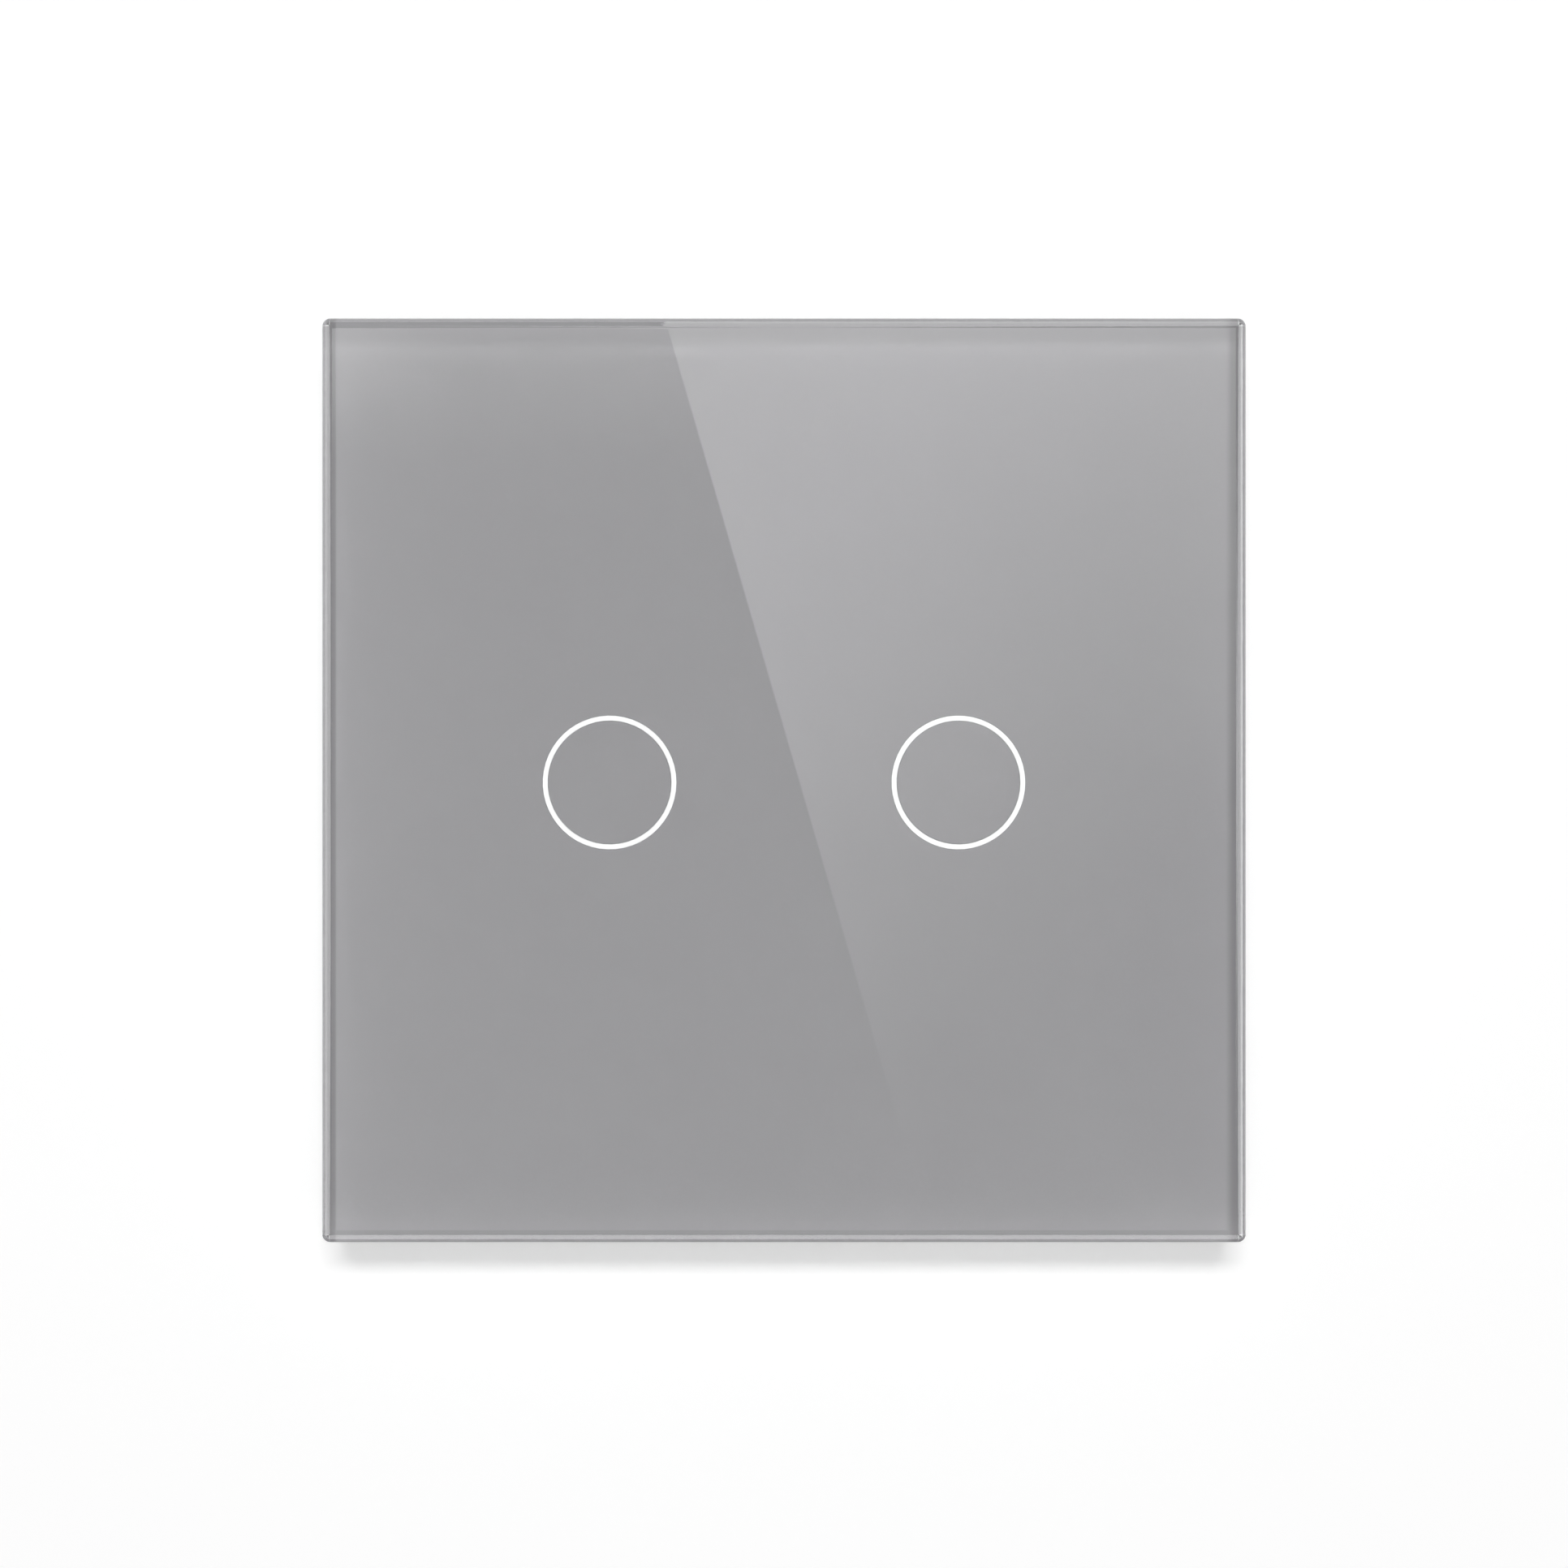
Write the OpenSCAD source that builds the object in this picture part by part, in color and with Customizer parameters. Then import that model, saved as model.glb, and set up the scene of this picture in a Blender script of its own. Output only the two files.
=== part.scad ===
// Two-gang touch light switch with a glass front, for a round wall box.
// Everything is drawn face-on: x to the right, y up, z out of the wall.
// face_on() then stands it upright, with the front towards -Y and the wall plane at Y = 0.

/* [Glass panel] */
// Width of the glass panel
panel_w = 80; // [78:0.5:90]
// Height of the glass panel
panel_h = 80; // [78:0.5:90]
// Thickness of the glass
glass_t = 4; // [3:0.5:6]
// Radius of the panel's corners
glass_corner_r = 0.7; // [0.5:0.1:3]
// Width of the ground bevel round the front
glass_bevel = 0.9; // [0.2:0.1:1.5]
// Width of the broken edge round the back
glass_arris = 0.3; // [0.1:0.1:0.6]

/* [Touch rings] */
// Distance between the centres of the two rings
ring_pitch = 30.35; // [26:0.05:33]
// Outer diameter of a ring
ring_d = 11.65; // [10:0.05:13]
// Width of the ring's line
ring_line = 0.45; // [0.3:0.05:1]
// How far the rings sit below the panel's centre
ring_drop = 0.2; // [0:0.1:2]
// Gap between the white line and the grey print
ring_play = 0.02; // [0.01:0.01:0.05]

/* [Print and tape] */
// Thickness of the printed film behind the glass
film_t = 0.12; // [0.1:0.02:0.3]
// Clear margin between the print and the edge of the glass
film_inset = 0.45; // [0.2:0.05:1.5]
// Thickness of the foam tape
tape_t = 0.4; // [0.2:0.1:1]
// Width of the foam tape
tape_w = 7; // [3:0.5:9]
// Distance of the tape from the outside of the frame
tape_inset = 1; // [0.5:0.1:2]

/* [Panel frame] */
// How far the frame stands back from the edge of the glass
frame_inset = 0.4; // [0.2:0.1:1]
// Wall thickness of the skirt
skirt_wall = 1.6; // [1:0.1:2]
// Thickness of the web that carries the glass
web_t = 1.4; // [1:0.1:1.8]
// Gap between the skirt and the wall
wall_gap = 0.4; // [0.2:0.1:0.8]
// Thickness of a stiffening rib
rib_t = 1; // [0.6:0.1:1.6]
// Height of a stiffening rib
rib_h = 1.5; // [0.8:0.1:2]
// Distance of an inner rib from the middle of its side
rib_inner = 9; // [7:0.5:9.5]
// Distance of an outer rib from the middle of its side
rib_outer = 24; // [20:0.5:28]
// Width of a snap hook
hook_w = 7; // [5:0.5:10]
// Thickness of a snap hook
hook_t = 1.2; // [0.8:0.1:1.6]
// Distance of a snap hook from the middle of its side
hook_spread = 14; // [9:0.5:18]
// Reach of the hook's barb
barb = 0.55; // [0.3:0.05:0.9]
// Height of the barb's sloping lead
barb_lead = 0.6; // [0.4:0.1:0.8]
// Height of the barb's flat
barb_flat = 0.4; // [0.2:0.1:0.5]
// Gap between the barb, sprung back, and the ledge that it passes
barb_play = 0.05; // [0.03:0.01:0.2]
// Gap between the hook's foot and the yoke
hook_foot_gap = 0.4; // [0.2:0.1:0.6]
// Width of the pry notch in the bottom of the skirt
pry_w = 10; // [6:0.5:16]
// Height of the pry notch
pry_h = 1.6; // [1:0.1:2.5]

/* [Front cover] */
// Width and height of the front cover
cover_w = 52; // [51:0.5:56]
// Height of the front cover
cover_h = 4.4; // [4.2:0.1:6]
// Wall thickness of the front cover
cover_wall = 1.4; // [1:0.1:1.6]
// Radius of the cover's corners
cover_corner_r = 3; // [1:0.5:5]
// Gap between the cover and the print behind the glass
panel_gap = 0.8; // [0.5:0.1:1.5]
// Reach of the ledges that the snap hooks grip
ledge = 0.5; // [0.3:0.05:0.8]
// Height of a ledge
ledge_h = 0.8; // [0.5:0.1:1.2]
// Gap between the barb and its ledge with the panel home
ledge_gap = 0.4; // [0.2:0.1:0.6]
// How much wider a ledge is than its hook
ledge_over = 0.4; // [0:0.1:2]
// Diameter of the bosses that take the housing screws
boss_d = 5; // [4:0.1:5.6]
// Diameter of the posts that carry the touch board
touch_post_d = 4.5; // [3.4:0.1:5]
// Distance of those posts above and below the middle
touch_post_at = 16.5; // [15:0.5:17.5]
// Height of the raised collar round a light guide
collar_h = 0.3; // [0.2:0.1:0.4]
// Width of the raised collar round a light guide
collar_w = 1; // [0.6:0.1:2]

/* [Light guides and touch springs] */
// How far a light guide reaches outside the ring
guide_over = 0.5; // [0.2:0.1:1]
// Wall thickness of a light guide
guide_wall = 1.1; // [0.8:0.1:1.6]
// Reach of the flange round a light guide
guide_flange = 0.9; // [0.5:0.1:1.4]
// Thickness of the flange
guide_flange_t = 0.8; // [0.5:0.1:1.2]
// Gap between a light guide and the cover
guide_play = 0.1; // [0.05:0.05:0.3]
// Gap between a light guide and the print
guide_gap = 0.3; // [0.2:0.1:0.4]
// Gap between a touch spring and its light guide
spring_room = 0.9; // [0.5:0.1:1.5]
// Wire diameter of a touch spring
spring_wire = 0.5; // [0.4:0.05:0.55]
// Turns of a touch spring
spring_turns = 3; // [2:0.25:3]
// Bend radius at the ends of the spring wire
spring_bend = 0.6; // [0.5:0.05:0.7]
// Gap between the touch spring and the print
spring_gap = 0.15; // [0.1:0.05:0.3]

/* [Yoke] */
// Thickness of the yoke
yoke_t = 1.2; // [1:0.1:1.6]
// Gap between the yoke and the skirt round it
yoke_play = 1.5; // [0.6:0.1:2.2]
// Radius of the yoke's corners
yoke_corner_r = 4; // [2:0.5:8]
// Distance between opposite fixing slots
fixing_pitch = 60; // [58:0.2:61]
// Width of a fixing slot
slot_w = 3.8; // [3.2:0.1:4.6]
// Length of a fixing slot
slot_l = 8; // [6:0.5:9]
// Depth of the pressed seat for the housing
seat_depth = 0.4; // [0.2:0.1:0.6]
// Gap round the housing in that seat
seat_play = 0.3; // [0.2:0.1:0.6]

/* [Rear housing] */
// Size of the housing's chamfered corners
housing_chamfer = 12.5; // [11.5:0.25:13.5]
// Wall thickness of the housing
housing_wall = 1.8; // [1.4:0.1:2]
// Air gap between the relays and the housing's back
rear_room = 1.1; // [0.6:0.1:2]
// Thickness of a screw lug
lug_t = 2; // [1.4:0.1:3]
// Material round the screw hole of a lug
lug_wall = 0.75; // [0.6:0.05:1]
// Diameter of the posts that carry the power board
post_d = 4.8; // [4.4:0.1:5.2]
// Width of a vent slot
vent_w = 1.4; // [1:0.1:2]
// Length of a vent slot
vent_l = 9; // [5:0.5:10]
// Distance between vent slots
vent_pitch = 3.4; // [3:0.1:3.8]
// Number of vent slots in a row
vent_count = 6; // [2:1:7]
// Width of the bevel round the housing's back
housing_edge = 0.8; // [0.4:0.1:1.2]
// Thickness of the grip ribs on the housing's sides
side_rib = 0.6; // [0.3:0.1:0.8]
// Distance of the grip ribs behind the wall
side_rib_start = 5; // [3:0.5:8]
// Width of a grip rib
side_rib_w = 1.2; // [0.8:0.1:2]
// Distance between grip ribs
side_rib_pitch = 5; // [3:0.5:5.5]

/* [Boards] */
// Thickness of the touch board
touch_t = 1; // [0.8:0.1:1.2]
// Room between the touch board and the front cover
led_room = 3.2; // [3:0.1:3.6]
// Gap between the touch board and the yoke's window
touch_play = 0.7; // [0.4:0.1:1.5]
// Distance between the two boards
stack_gap = 7.5; // [7:0.1:9]
// Thickness of the power board
power_t = 1.6; // [1:0.1:2]
// Gap between the power board and the housing
power_play = 0.3; // [0.2:0.1:0.8]
// Distance of the board's screws from its chamfered corners
power_screw_inset = 1.75; // [1.6:0.05:2]
// Least gap between neighbouring parts on the power board
part_gap = 0.7; // [0.5:0.1:1]
// Room between the upper row of parts and the housing
top_room = 1.6; // [0.8:0.1:3]

/* [Screws] */
// Diameter of the housing screws
case_screw_d = 2.2; // [2:0.1:2.4]
// Diameter of a housing screw's head
case_head_d = 3.6; // [3.2:0.1:3.8]
// Gap between a screw's head and the housing beside it
head_play = 0.2; // [0.15:0.05:0.4]
// Diameter of the board screws
board_screw_d = 1.8; // [1.5:0.1:2]
// Diameter of a board screw's head
board_head_d = 3.2; // [2.8:0.1:3.4]
// Height of every screw's head
head_h = 1.3; // [1:0.1:1.4]
// Width of the bevel round a screw's head
head_crown = 0.35; // [0.2:0.05:0.5]
// Width of the cross in a screw's head
cross_w = 0.5; // [0.3:0.05:0.7]
// Depth of the cross in a screw's head
cross_depth = 0.7; // [0.4:0.1:0.8]
// Radial room of a screw in a hole that it passes
pass_play = 0.15; // [0.1:0.05:0.25]
// Radial room of a screw in the hole that it cuts its thread in
pilot_play = 0.04; // [0.02:0.01:0.08]
// Thickness of material left in front of a pilot hole
pilot_floor = 0.4; // [0.2:0.1:0.8]
// Length of the power board's screws
power_screw_l = 8; // [6:0.5:10]

/* [Touch board parts] */
// Length of an indicator light
led_l = 2; // [1.6:0.1:2.2]
// Width of an indicator light
led_w = 1.25; // [0.8:0.05:1.4]
// Height of an indicator light
led_h = 0.8; // [0.5:0.1:1]
// Height of the indicator light's end pads
led_pad_h = 0.5; // [0.2:0.1:0.5]
// Length of the indicator light's end pads
led_pad_l = 0.4; // [0.2:0.1:0.6]
// Gap round an indicator light in its notch
led_play = 0.2; // [0.1:0.05:0.4]
// Length of the touch controller
chip_l = 9.9; // [8:0.1:11]
// Width of the touch controller
chip_w = 3.9; // [3:0.1:5]
// Height of the touch controller
chip_h = 1.5; // [1:0.1:1.8]
// Distance of the touch controller below the middle
chip_drop = 5; // [3:0.5:9]
// Number of legs on each side of the touch controller
chip_legs = 8; // [4:1:8]
// Distance between the legs
chip_leg_pitch = 1.27; // [1:0.01:1.27]
// Reach of a leg
chip_leg_l = 1; // [0.6:0.1:1.3]
// Width of a leg
chip_leg_w = 0.4; // [0.3:0.05:0.5]
// Thickness of a leg
chip_leg_t = 0.2; // [0.1:0.05:0.3]
// Gap between the touch controller's body and the board
chip_standoff = 0.1; // [0.05:0.05:0.2]

/* [Board connector] */
// Number of connector pins
pin_count = 8; // [4:1:10]
// Distance between the pins
pin_pitch = 2.54; // [2:0.01:2.54]
// Width of a pin
pin_w = 0.64; // [0.5:0.02:0.7]
// Width of the connector's bodies
header_w = 2.5; // [2:0.1:3]
// Height of the header's body
header_h = 2.5; // [1.8:0.1:3]
// Height of the connector above the middle
header_rise = 8; // [6:0.5:10]
// How far the pins stand out of the touch board
pin_out = 0.6; // [0.3:0.1:1]
// How far the pins reach into the socket
pin_dip = 4; // [2:0.5:4]
// Gap round a pin
pin_play = 0.1; // [0.05:0.05:0.2]

/* [Power parts] */
// Width of a relay
relay_w = 15.5; // [13:0.5:16]
// Length of a relay
relay_l = 19; // [16:0.5:20]
// Height of a relay
relay_h = 15; // [14:0.5:18]
// Size of the bevel on a relay's upright edges
relay_edge = 0.8; // [0.4:0.1:1.5]
// Height of a relay's base
relay_base_h = 1.6; // [1:0.1:3]
// How far the relay's case stands in from its base
relay_step = 0.3; // [0.1:0.1:0.6]
// Width of the film capacitor
film_cap_w = 12; // [9:0.5:12]
// Depth of the film capacitor
film_cap_t = 6; // [4:0.5:7]
// Height of the film capacitor
film_cap_h = 12; // [8:0.5:14]
// Size of the bevel on the film capacitor's upright edges
film_cap_edge = 0.6; // [0.3:0.1:1]
// Diameter of the smoothing capacitor
can_d = 8; // [5:0.5:8]
// Height of the smoothing capacitor
can_h = 12; // [8:0.5:14]
// Depth of the groove round the smoothing capacitor
can_groove = 0.35; // [0.2:0.05:0.5]
// Height of that groove above the board
can_groove_at = 1.8; // [1.2:0.1:2.5]
// Diameter of the varistor
disc_d = 9; // [6:0.5:11]
// Thickness of the varistor
disc_t = 3.6; // [2.5:0.1:4]
// Size of the bevel round the varistor
disc_edge = 0.9; // [0.5:0.1:1.2]
// Distance between the varistor's leads
disc_lead_pitch = 4.5; // [3:0.25:5]
// Height of the varistor above the board
disc_lift = 1; // [0.5:0.1:2]
// Diameter of the fusible resistor
fuse_d = 3.6; // [2.5:0.1:4]
// Length of the fusible resistor
fuse_l = 9; // [6:0.5:11]
// Size of the bevel at the fusible resistor's ends
fuse_end = 0.6; // [0.3:0.1:0.9]
// Height of the fusible resistor above the board
fuse_lift = 0.5; // [0.3:0.1:1]
// Diameter of the wire leads
lead_d = 0.6; // [0.5:0.05:0.8]
// Length of the bridge rectifier
bridge_l = 8.4; // [6:0.2:9]
// Width of the bridge rectifier
bridge_w = 4.6; // [3:0.2:5]
// Height of the bridge rectifier
bridge_h = 3.2; // [2:0.1:5]
// Size of the bridge rectifier's cut corner
bridge_cut = 1.2; // [0.6:0.1:2]
// Diameter of the choke
choke_d = 5; // [4:0.2:5.2]
// Height of the choke
choke_h = 8; // [5:0.5:12]
// Depth of the winding between the choke's flanges
choke_waist = 0.6; // [0.3:0.1:1]
// Thickness of the choke's flanges
choke_flange = 1; // [0.6:0.1:1.5]

/* [Terminals] */
// Diameter of the wire entries
wire_d = 3.6; // [3:0.1:3.8]
// Room beside the wire in its clamp cage
wire_play = 0.1; // [0.05:0.05:0.2]
// Wall thickness of a terminal pole between neighbours
pole_wall = 0.8; // [0.6:0.1:1]
// Gap between neighbouring poles, and between them and the housing
pole_play = 0.1; // [0.05:0.05:0.2]
// Thickness of a pole's front wall, which the wire entry goes through
entry_wall = 3.1; // [2:0.1:3.5]
// Depth of the funnel at a wire entry's mouth
funnel_depth = 0.5; // [0.3:0.1:0.8]
// Thickness of a pole's inner wall
pole_back = 2; // [1.6:0.1:2.4]
// Length of a clamp cage
cage_l = 6; // [5:0.5:6.5]
// Wall thickness of a clamp cage's sides and floor
cage_wall = 0.7; // [0.5:0.05:0.9]
// Thickness of a clamp cage's threaded wall
cage_nut = 1.2; // [1:0.1:1.6]
// Gap between a clamp cage and its pole
cage_play = 0.2; // [0.1:0.05:0.3]
// Travel of a clamp cage
cage_travel = 3; // [2:0.5:3.2]
// Thickness of a contact bar
bar_t = 1; // [0.8:0.1:1.2]
// Gap between a contact bar and the cage round it
bar_play = 0.2; // [0.1:0.05:0.3]
// How far a contact bar's leg stands out of the power board
bar_out = 1; // [0.5:0.1:1.5]
// Diameter of a terminal screw
clamp_screw_d = 3; // [2.5:0.1:3.2]
// Diameter of a terminal screw's head
clamp_head_d = 4.6; // [4:0.1:4.8]
// Height of a terminal screw's head
clamp_head_h = 2; // [1.4:0.1:2.4]
// Width of the slot in a terminal screw's head
clamp_slot_w = 0.8; // [0.5:0.1:1.2]
// Depth of the slot in a terminal screw's head
clamp_slot_depth = 1; // [0.6:0.1:1.2]
// How far a terminal screw's head sits below the housing's back
clamp_head_sink = 0.4; // [0.2:0.1:0.8]
// Thickness of the wall under a terminal screw's head
neck_wall = 0.6; // [0.4:0.1:1]
// Radial room round a terminal screw's head
clamp_head_play = 0.15; // [0.1:0.05:0.3]
// Radial room of a terminal screw in the cage's thread
thread_play = 0.05; // [0.03:0.01:0.1]

/* [Hidden] */
$fn = 64;
corner_fn = 32;
// Overlap that lets a cut run clear of a face
cut = 0.5;
// Thickness of the slices that a bevelled outline is drawn between
slice = 0.01;
// Least corner radius of a bevelled outline
least_corner_r = 0.25;
root2 = sqrt(2);
POLES = [-1, 0, 1];
SIDES = [-1, 1];

// Levels in front of the wall
cover_front = yoke_t + cover_h;
cover_inner = cover_front - cover_wall;
film_back = cover_front + panel_gap;
glass_back = film_back + film_t;
glass_front = glass_back + glass_t;
frame_front = film_back - tape_t;
web_back = frame_front - web_t;
hook_foot = yoke_t + hook_foot_gap;
touch_front = cover_inner - led_room;
touch_back = touch_front - touch_t;
guide_front = film_back - guide_gap;
spring_front = film_back - spring_gap;

// Levels behind the wall
power_front = touch_back - stack_gap;
power_back = power_front - power_t;
rear_inner = power_back - relay_h - rear_room;
housing_back = rear_inner - housing_wall;
clamp_head_back = housing_back + clamp_head_sink;
clamp_head_seat = clamp_head_back + clamp_head_h;
cavity_back = clamp_head_seat + neck_wall;
cage_nut_back = cavity_back + cage_play + cage_travel;
cage_nut_front = cage_nut_back + cage_nut;
bar_back = cage_nut_front + bar_play;
bar_front = bar_back + bar_t;
wire_z = bar_front + wire_play + wire_d / 2;
cage_floor_back = wire_z + wire_d / 2 + wire_play;
cage_front = cage_floor_back + cage_wall;
cavity_front = cage_front + cage_play;

// Plan sizes
frame_w = panel_w - 2 * frame_inset;
frame_h = panel_h - 2 * frame_inset;
skirt_in_w = frame_w - 2 * skirt_wall;
skirt_in_h = frame_h - 2 * skirt_wall;
yoke_w = skirt_in_w - 2 * yoke_play;
yoke_h = skirt_in_h - 2 * yoke_play;
cover_half = cover_w / 2;
cover_inner_w = cover_w - 2 * cover_wall;
cover_inner_r = cover_corner_r - cover_wall / 2;
hook_in = cover_half + ledge + barb_play + barb;
barb_low = hook_foot + barb_lead;
barb_high = barb_low + barb_flat;
ledge_foot = barb_high + ledge_gap;
// The housing is as tall as the rows on the power board: terminals, lower row, relays, upper row
pole_depth = entry_wall + cage_l + 2 * cage_play + pole_back;
lower_row_w = max(bridge_w, choke_d);
upper_row_w = max(film_cap_t, can_d);
inner_half = (pole_depth - housing_wall + lower_row_w + relay_l + upper_row_w
              + 3 * part_gap + top_room) / 2;
housing_half = inner_half + housing_wall;
housing_sum = 2 * housing_half - housing_chamfer;
inner_sum = housing_sum - housing_wall * root2;
case_screw_at = housing_sum / 2 + (case_head_d / 2 + head_play) / root2;
case_hole_r = case_screw_d / 2 + pass_play;
lug_r = case_hole_r + lug_wall;
touch_half = inner_half - touch_play;
touch_sum = inner_sum - touch_play * root2;
power_half = inner_half - power_play;
power_sum = inner_sum - power_play * root2;
power_screw_at = (power_sum - power_screw_inset * root2) / 2;
ring_r = ring_d / 2;
ring_x = ring_pitch / 2;
guide_r = ring_r + guide_over;
guide_in_r = guide_r - guide_wall;
led_at = ring_r - ring_line / 2;
header_l = pin_count * pin_pitch;

// Terminal plan sizes
cage_in_w = wire_d + 2 * wire_play;
cage_w = cage_in_w + 2 * cage_wall;
pole_w = cage_w + 2 * cage_play + 2 * pole_wall;
pole_pitch = pole_w + pole_play;
bar_w = cage_in_w - 2 * bar_play;
pole_front_y = -housing_half;
cavity_y = pole_front_y + entry_wall;
cavity_end_y = cavity_y + cage_l + 2 * cage_play;
pole_end_y = pole_front_y + pole_depth;
leg_y = cavity_end_y + (pole_back - bar_t) / 2;
pole_mid_y = (cavity_y + cavity_end_y) / 2;
block_w = 2 * pole_pitch + pole_w;

// Plan places on the power board
relay_x = (relay_w + part_gap) / 2;
lower_row = pole_end_y + part_gap + lower_row_w / 2;
relay_rise = lower_row + lower_row_w / 2 + part_gap + relay_l / 2;
upper_row = relay_rise + relay_l / 2 + part_gap;
upper_row_l = film_cap_w + part_gap + can_d;
side_row = (relay_x + relay_w / 2 + inner_half) / 2;

// Shared shapes

module face_on() rotate([90, 0, 0]) children();

module slab(low, high) translate([0, 0, low]) linear_extrude(high - low) children();

module rod(r, low, high) translate([0, 0, low]) cylinder(r = r, h = high - low);

module block(w, l, low, high) slab(low, high) square([w, l], center = true);

// Draws a profile of (y, z) points and pulls it along x, centred
module along_x(length) rotate([90, 0, 90]) linear_extrude(length, center = true) children();

// Draws a profile of (x, z) points and pulls it from y_low to y_high
module along_y(y_low, y_high) translate([0, y_high, 0]) rotate([90, 0, 0])
    linear_extrude(y_high - y_low) children();

module rounded_rect(w, h, r) {
    square([w - 2 * r, h], center = true);
    square([w, h - 2 * r], center = true);
    for (sx = SIDES, sy = SIDES) translate([sx * (w / 2 - r), sy * (h / 2 - r)]) circle(r);
}

module slot_outline(l, w) {
    square([l - w, w], center = true);
    for (side = SIDES) translate([side * (l - w) / 2, 0]) circle(w / 2);
}

// A square of the given half width whose corners are cut along x + y = sum
module octagon(half, sum) {
    flat = sum - half;
    polygon([[half, flat], [flat, half], [-flat, half], [-half, flat],
             [-half, -flat], [-flat, -half], [flat, -half], [half, -flat]]);
}

// A rectangle whose corners are cut off by the given width
module bevelled_rect(w, l, edge) {
    half_w = w / 2;
    half_l = l / 2;
    polygon([[half_w, half_l - edge], [half_w - edge, half_l], [edge - half_w, half_l],
             [-half_w, half_l - edge], [-half_w, edge - half_l], [edge - half_w, -half_l],
             [half_w - edge, -half_l], [half_w, edge - half_l]]);
}

module ring_outline(outer, inner) difference() {
    circle(outer);
    circle(inner);
}

module at_corners(distance) for (sx = SIDES, sy = SIDES)
    translate([sx * distance, sy * distance, 0]) children();

module at_ring(side) translate([side * ring_x, -ring_drop, 0]) children();

// A pan-head screw that stands on z = 0 with its shank below
module pan_screw(head_d, shank_d, shank_l) difference() {
    head_r = head_d / 2;
    shank_r = shank_d / 2;
    rotate_extrude() polygon([[0, head_h], [head_r - head_crown, head_h], [head_r, head_h - head_crown],
                              [head_r, 0], [shank_r, 0], [shank_r, shank_r - shank_l], [0, -shank_l]]);
    for (turn = [0, 90]) rotate(turn)
        block(head_d - 2 * head_crown, cross_w, head_h - cross_depth, head_h + cut);
}

// Glass panel and what is bonded to it

module glass_layer(inset, low) slab(low, low + slice)
    rounded_rect(panel_w - 2 * inset, panel_h - 2 * inset, max(glass_corner_r - inset, least_corner_r),
                 $fn = corner_fn);

module glass_panel() color([0.72, 0.74, 0.75, 0.5]) face_on() hull() {
    glass_layer(glass_arris, glass_back);
    glass_layer(0, glass_back + glass_arris);
    glass_layer(0, glass_front - glass_bevel - slice);
    glass_layer(glass_bevel, glass_front - slice);
}

module backing_film() color([0.6, 0.6, 0.61]) face_on() slab(film_back, glass_back) difference() {
    rounded_rect(panel_w - 2 * film_inset, panel_h - 2 * film_inset, glass_corner_r);
    for (side = SIDES) at_ring(side) ring_outline(ring_r, ring_r - ring_line);
}

module ring_window(side) color("white") face_on() at_ring(side) slab(film_back, glass_back)
    ring_outline(ring_r - ring_play, ring_r - ring_line + ring_play);

module adhesive_tape() color([0.15, 0.15, 0.15]) face_on() slab(frame_front, film_back) difference() {
    tape_out_w = frame_w - 2 * tape_inset;
    tape_out_h = frame_h - 2 * tape_inset;
    square([tape_out_w, tape_out_h], center = true);
    square([tape_out_w - 2 * tape_w, tape_out_h - 2 * tape_w], center = true);
}

// Panel frame

module snap_hook() translate([0, hook_in, 0]) along_x(hook_w)
    polygon([[0, frame_front], [0, barb_high + barb_lead], [-barb, barb_high], [-barb, barb_low],
             [0, hook_foot], [hook_t, hook_foot], [hook_t, frame_front]]);

module frame_ribs() for (turn = [0, 90, 180, 270], place = [rib_inner, rib_outer], side = SIDES) {
    half = (turn % 180 == 0 ? skirt_in_h : skirt_in_w) / 2;
    rib_in = hook_in + hook_t;
    rotate(turn) translate([side * place, (half + rib_in) / 2, 0])
        block(rib_t, half - rib_in + skirt_wall, web_back - rib_h, web_back + web_t / 2);
}

module panel_frame() color([0.2, 0.2, 0.21]) face_on() difference() {
    union() {
        slab(wall_gap, frame_front) difference() {
            rounded_rect(frame_w, frame_h, glass_corner_r);
            square([skirt_in_w, skirt_in_h], center = true);
        }
        slab(web_back, frame_front) difference() {
            square([skirt_in_w + skirt_wall, skirt_in_h + skirt_wall], center = true);
            square(2 * hook_in, center = true);
        }
        frame_ribs();
        for (turn = [0, 180], side = SIDES) rotate(turn) translate([side * hook_spread, 0, 0]) snap_hook();
    }
    translate([0, -frame_h / 2, 0]) block(pry_w, 4 * skirt_wall, wall_gap - cut, wall_gap + pry_h);
}

// Front cover, light guides and touch springs

module front_cover() color([0.12, 0.12, 0.13]) face_on() difference() {
    // Level inside the cover's front that bosses, posts and collars grow from
    rooted = cover_inner + cover_wall / 2;
    union() {
        slab(yoke_t, cover_front) difference() {
            rounded_rect(cover_w, cover_w, cover_corner_r);
            rounded_rect(cover_inner_w, cover_inner_w, cover_inner_r);
        }
        slab(cover_inner, cover_front) square(cover_inner_w, center = true);
        at_corners(case_screw_at) rod(boss_d / 2, yoke_t, rooted);
        for (side = SIDES) {
            translate([0, side * touch_post_at, 0]) rod(touch_post_d / 2, touch_front, rooted);
            at_ring(side) rod(guide_r + guide_play + collar_w, rooted, cover_front + collar_h);
        }
        for (sx = SIDES, sy = SIDES)
            translate([sx * hook_spread, sy * (cover_half + ledge - cover_wall / 2), 0])
                block(hook_w + ledge_over, cover_wall, ledge_foot, ledge_foot + ledge_h);
    }
    for (side = SIDES) {
        at_ring(side) rod(guide_r + guide_play, yoke_t, cover_front + collar_h + cut);
        translate([0, side * touch_post_at, 0])
            rod(board_screw_d / 2 + pilot_play, touch_front - cut, cover_front - pilot_floor);
    }
    at_corners(case_screw_at) rod(case_screw_d / 2 + pilot_play, yoke_t - cut, cover_front - pilot_floor);
}

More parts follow.
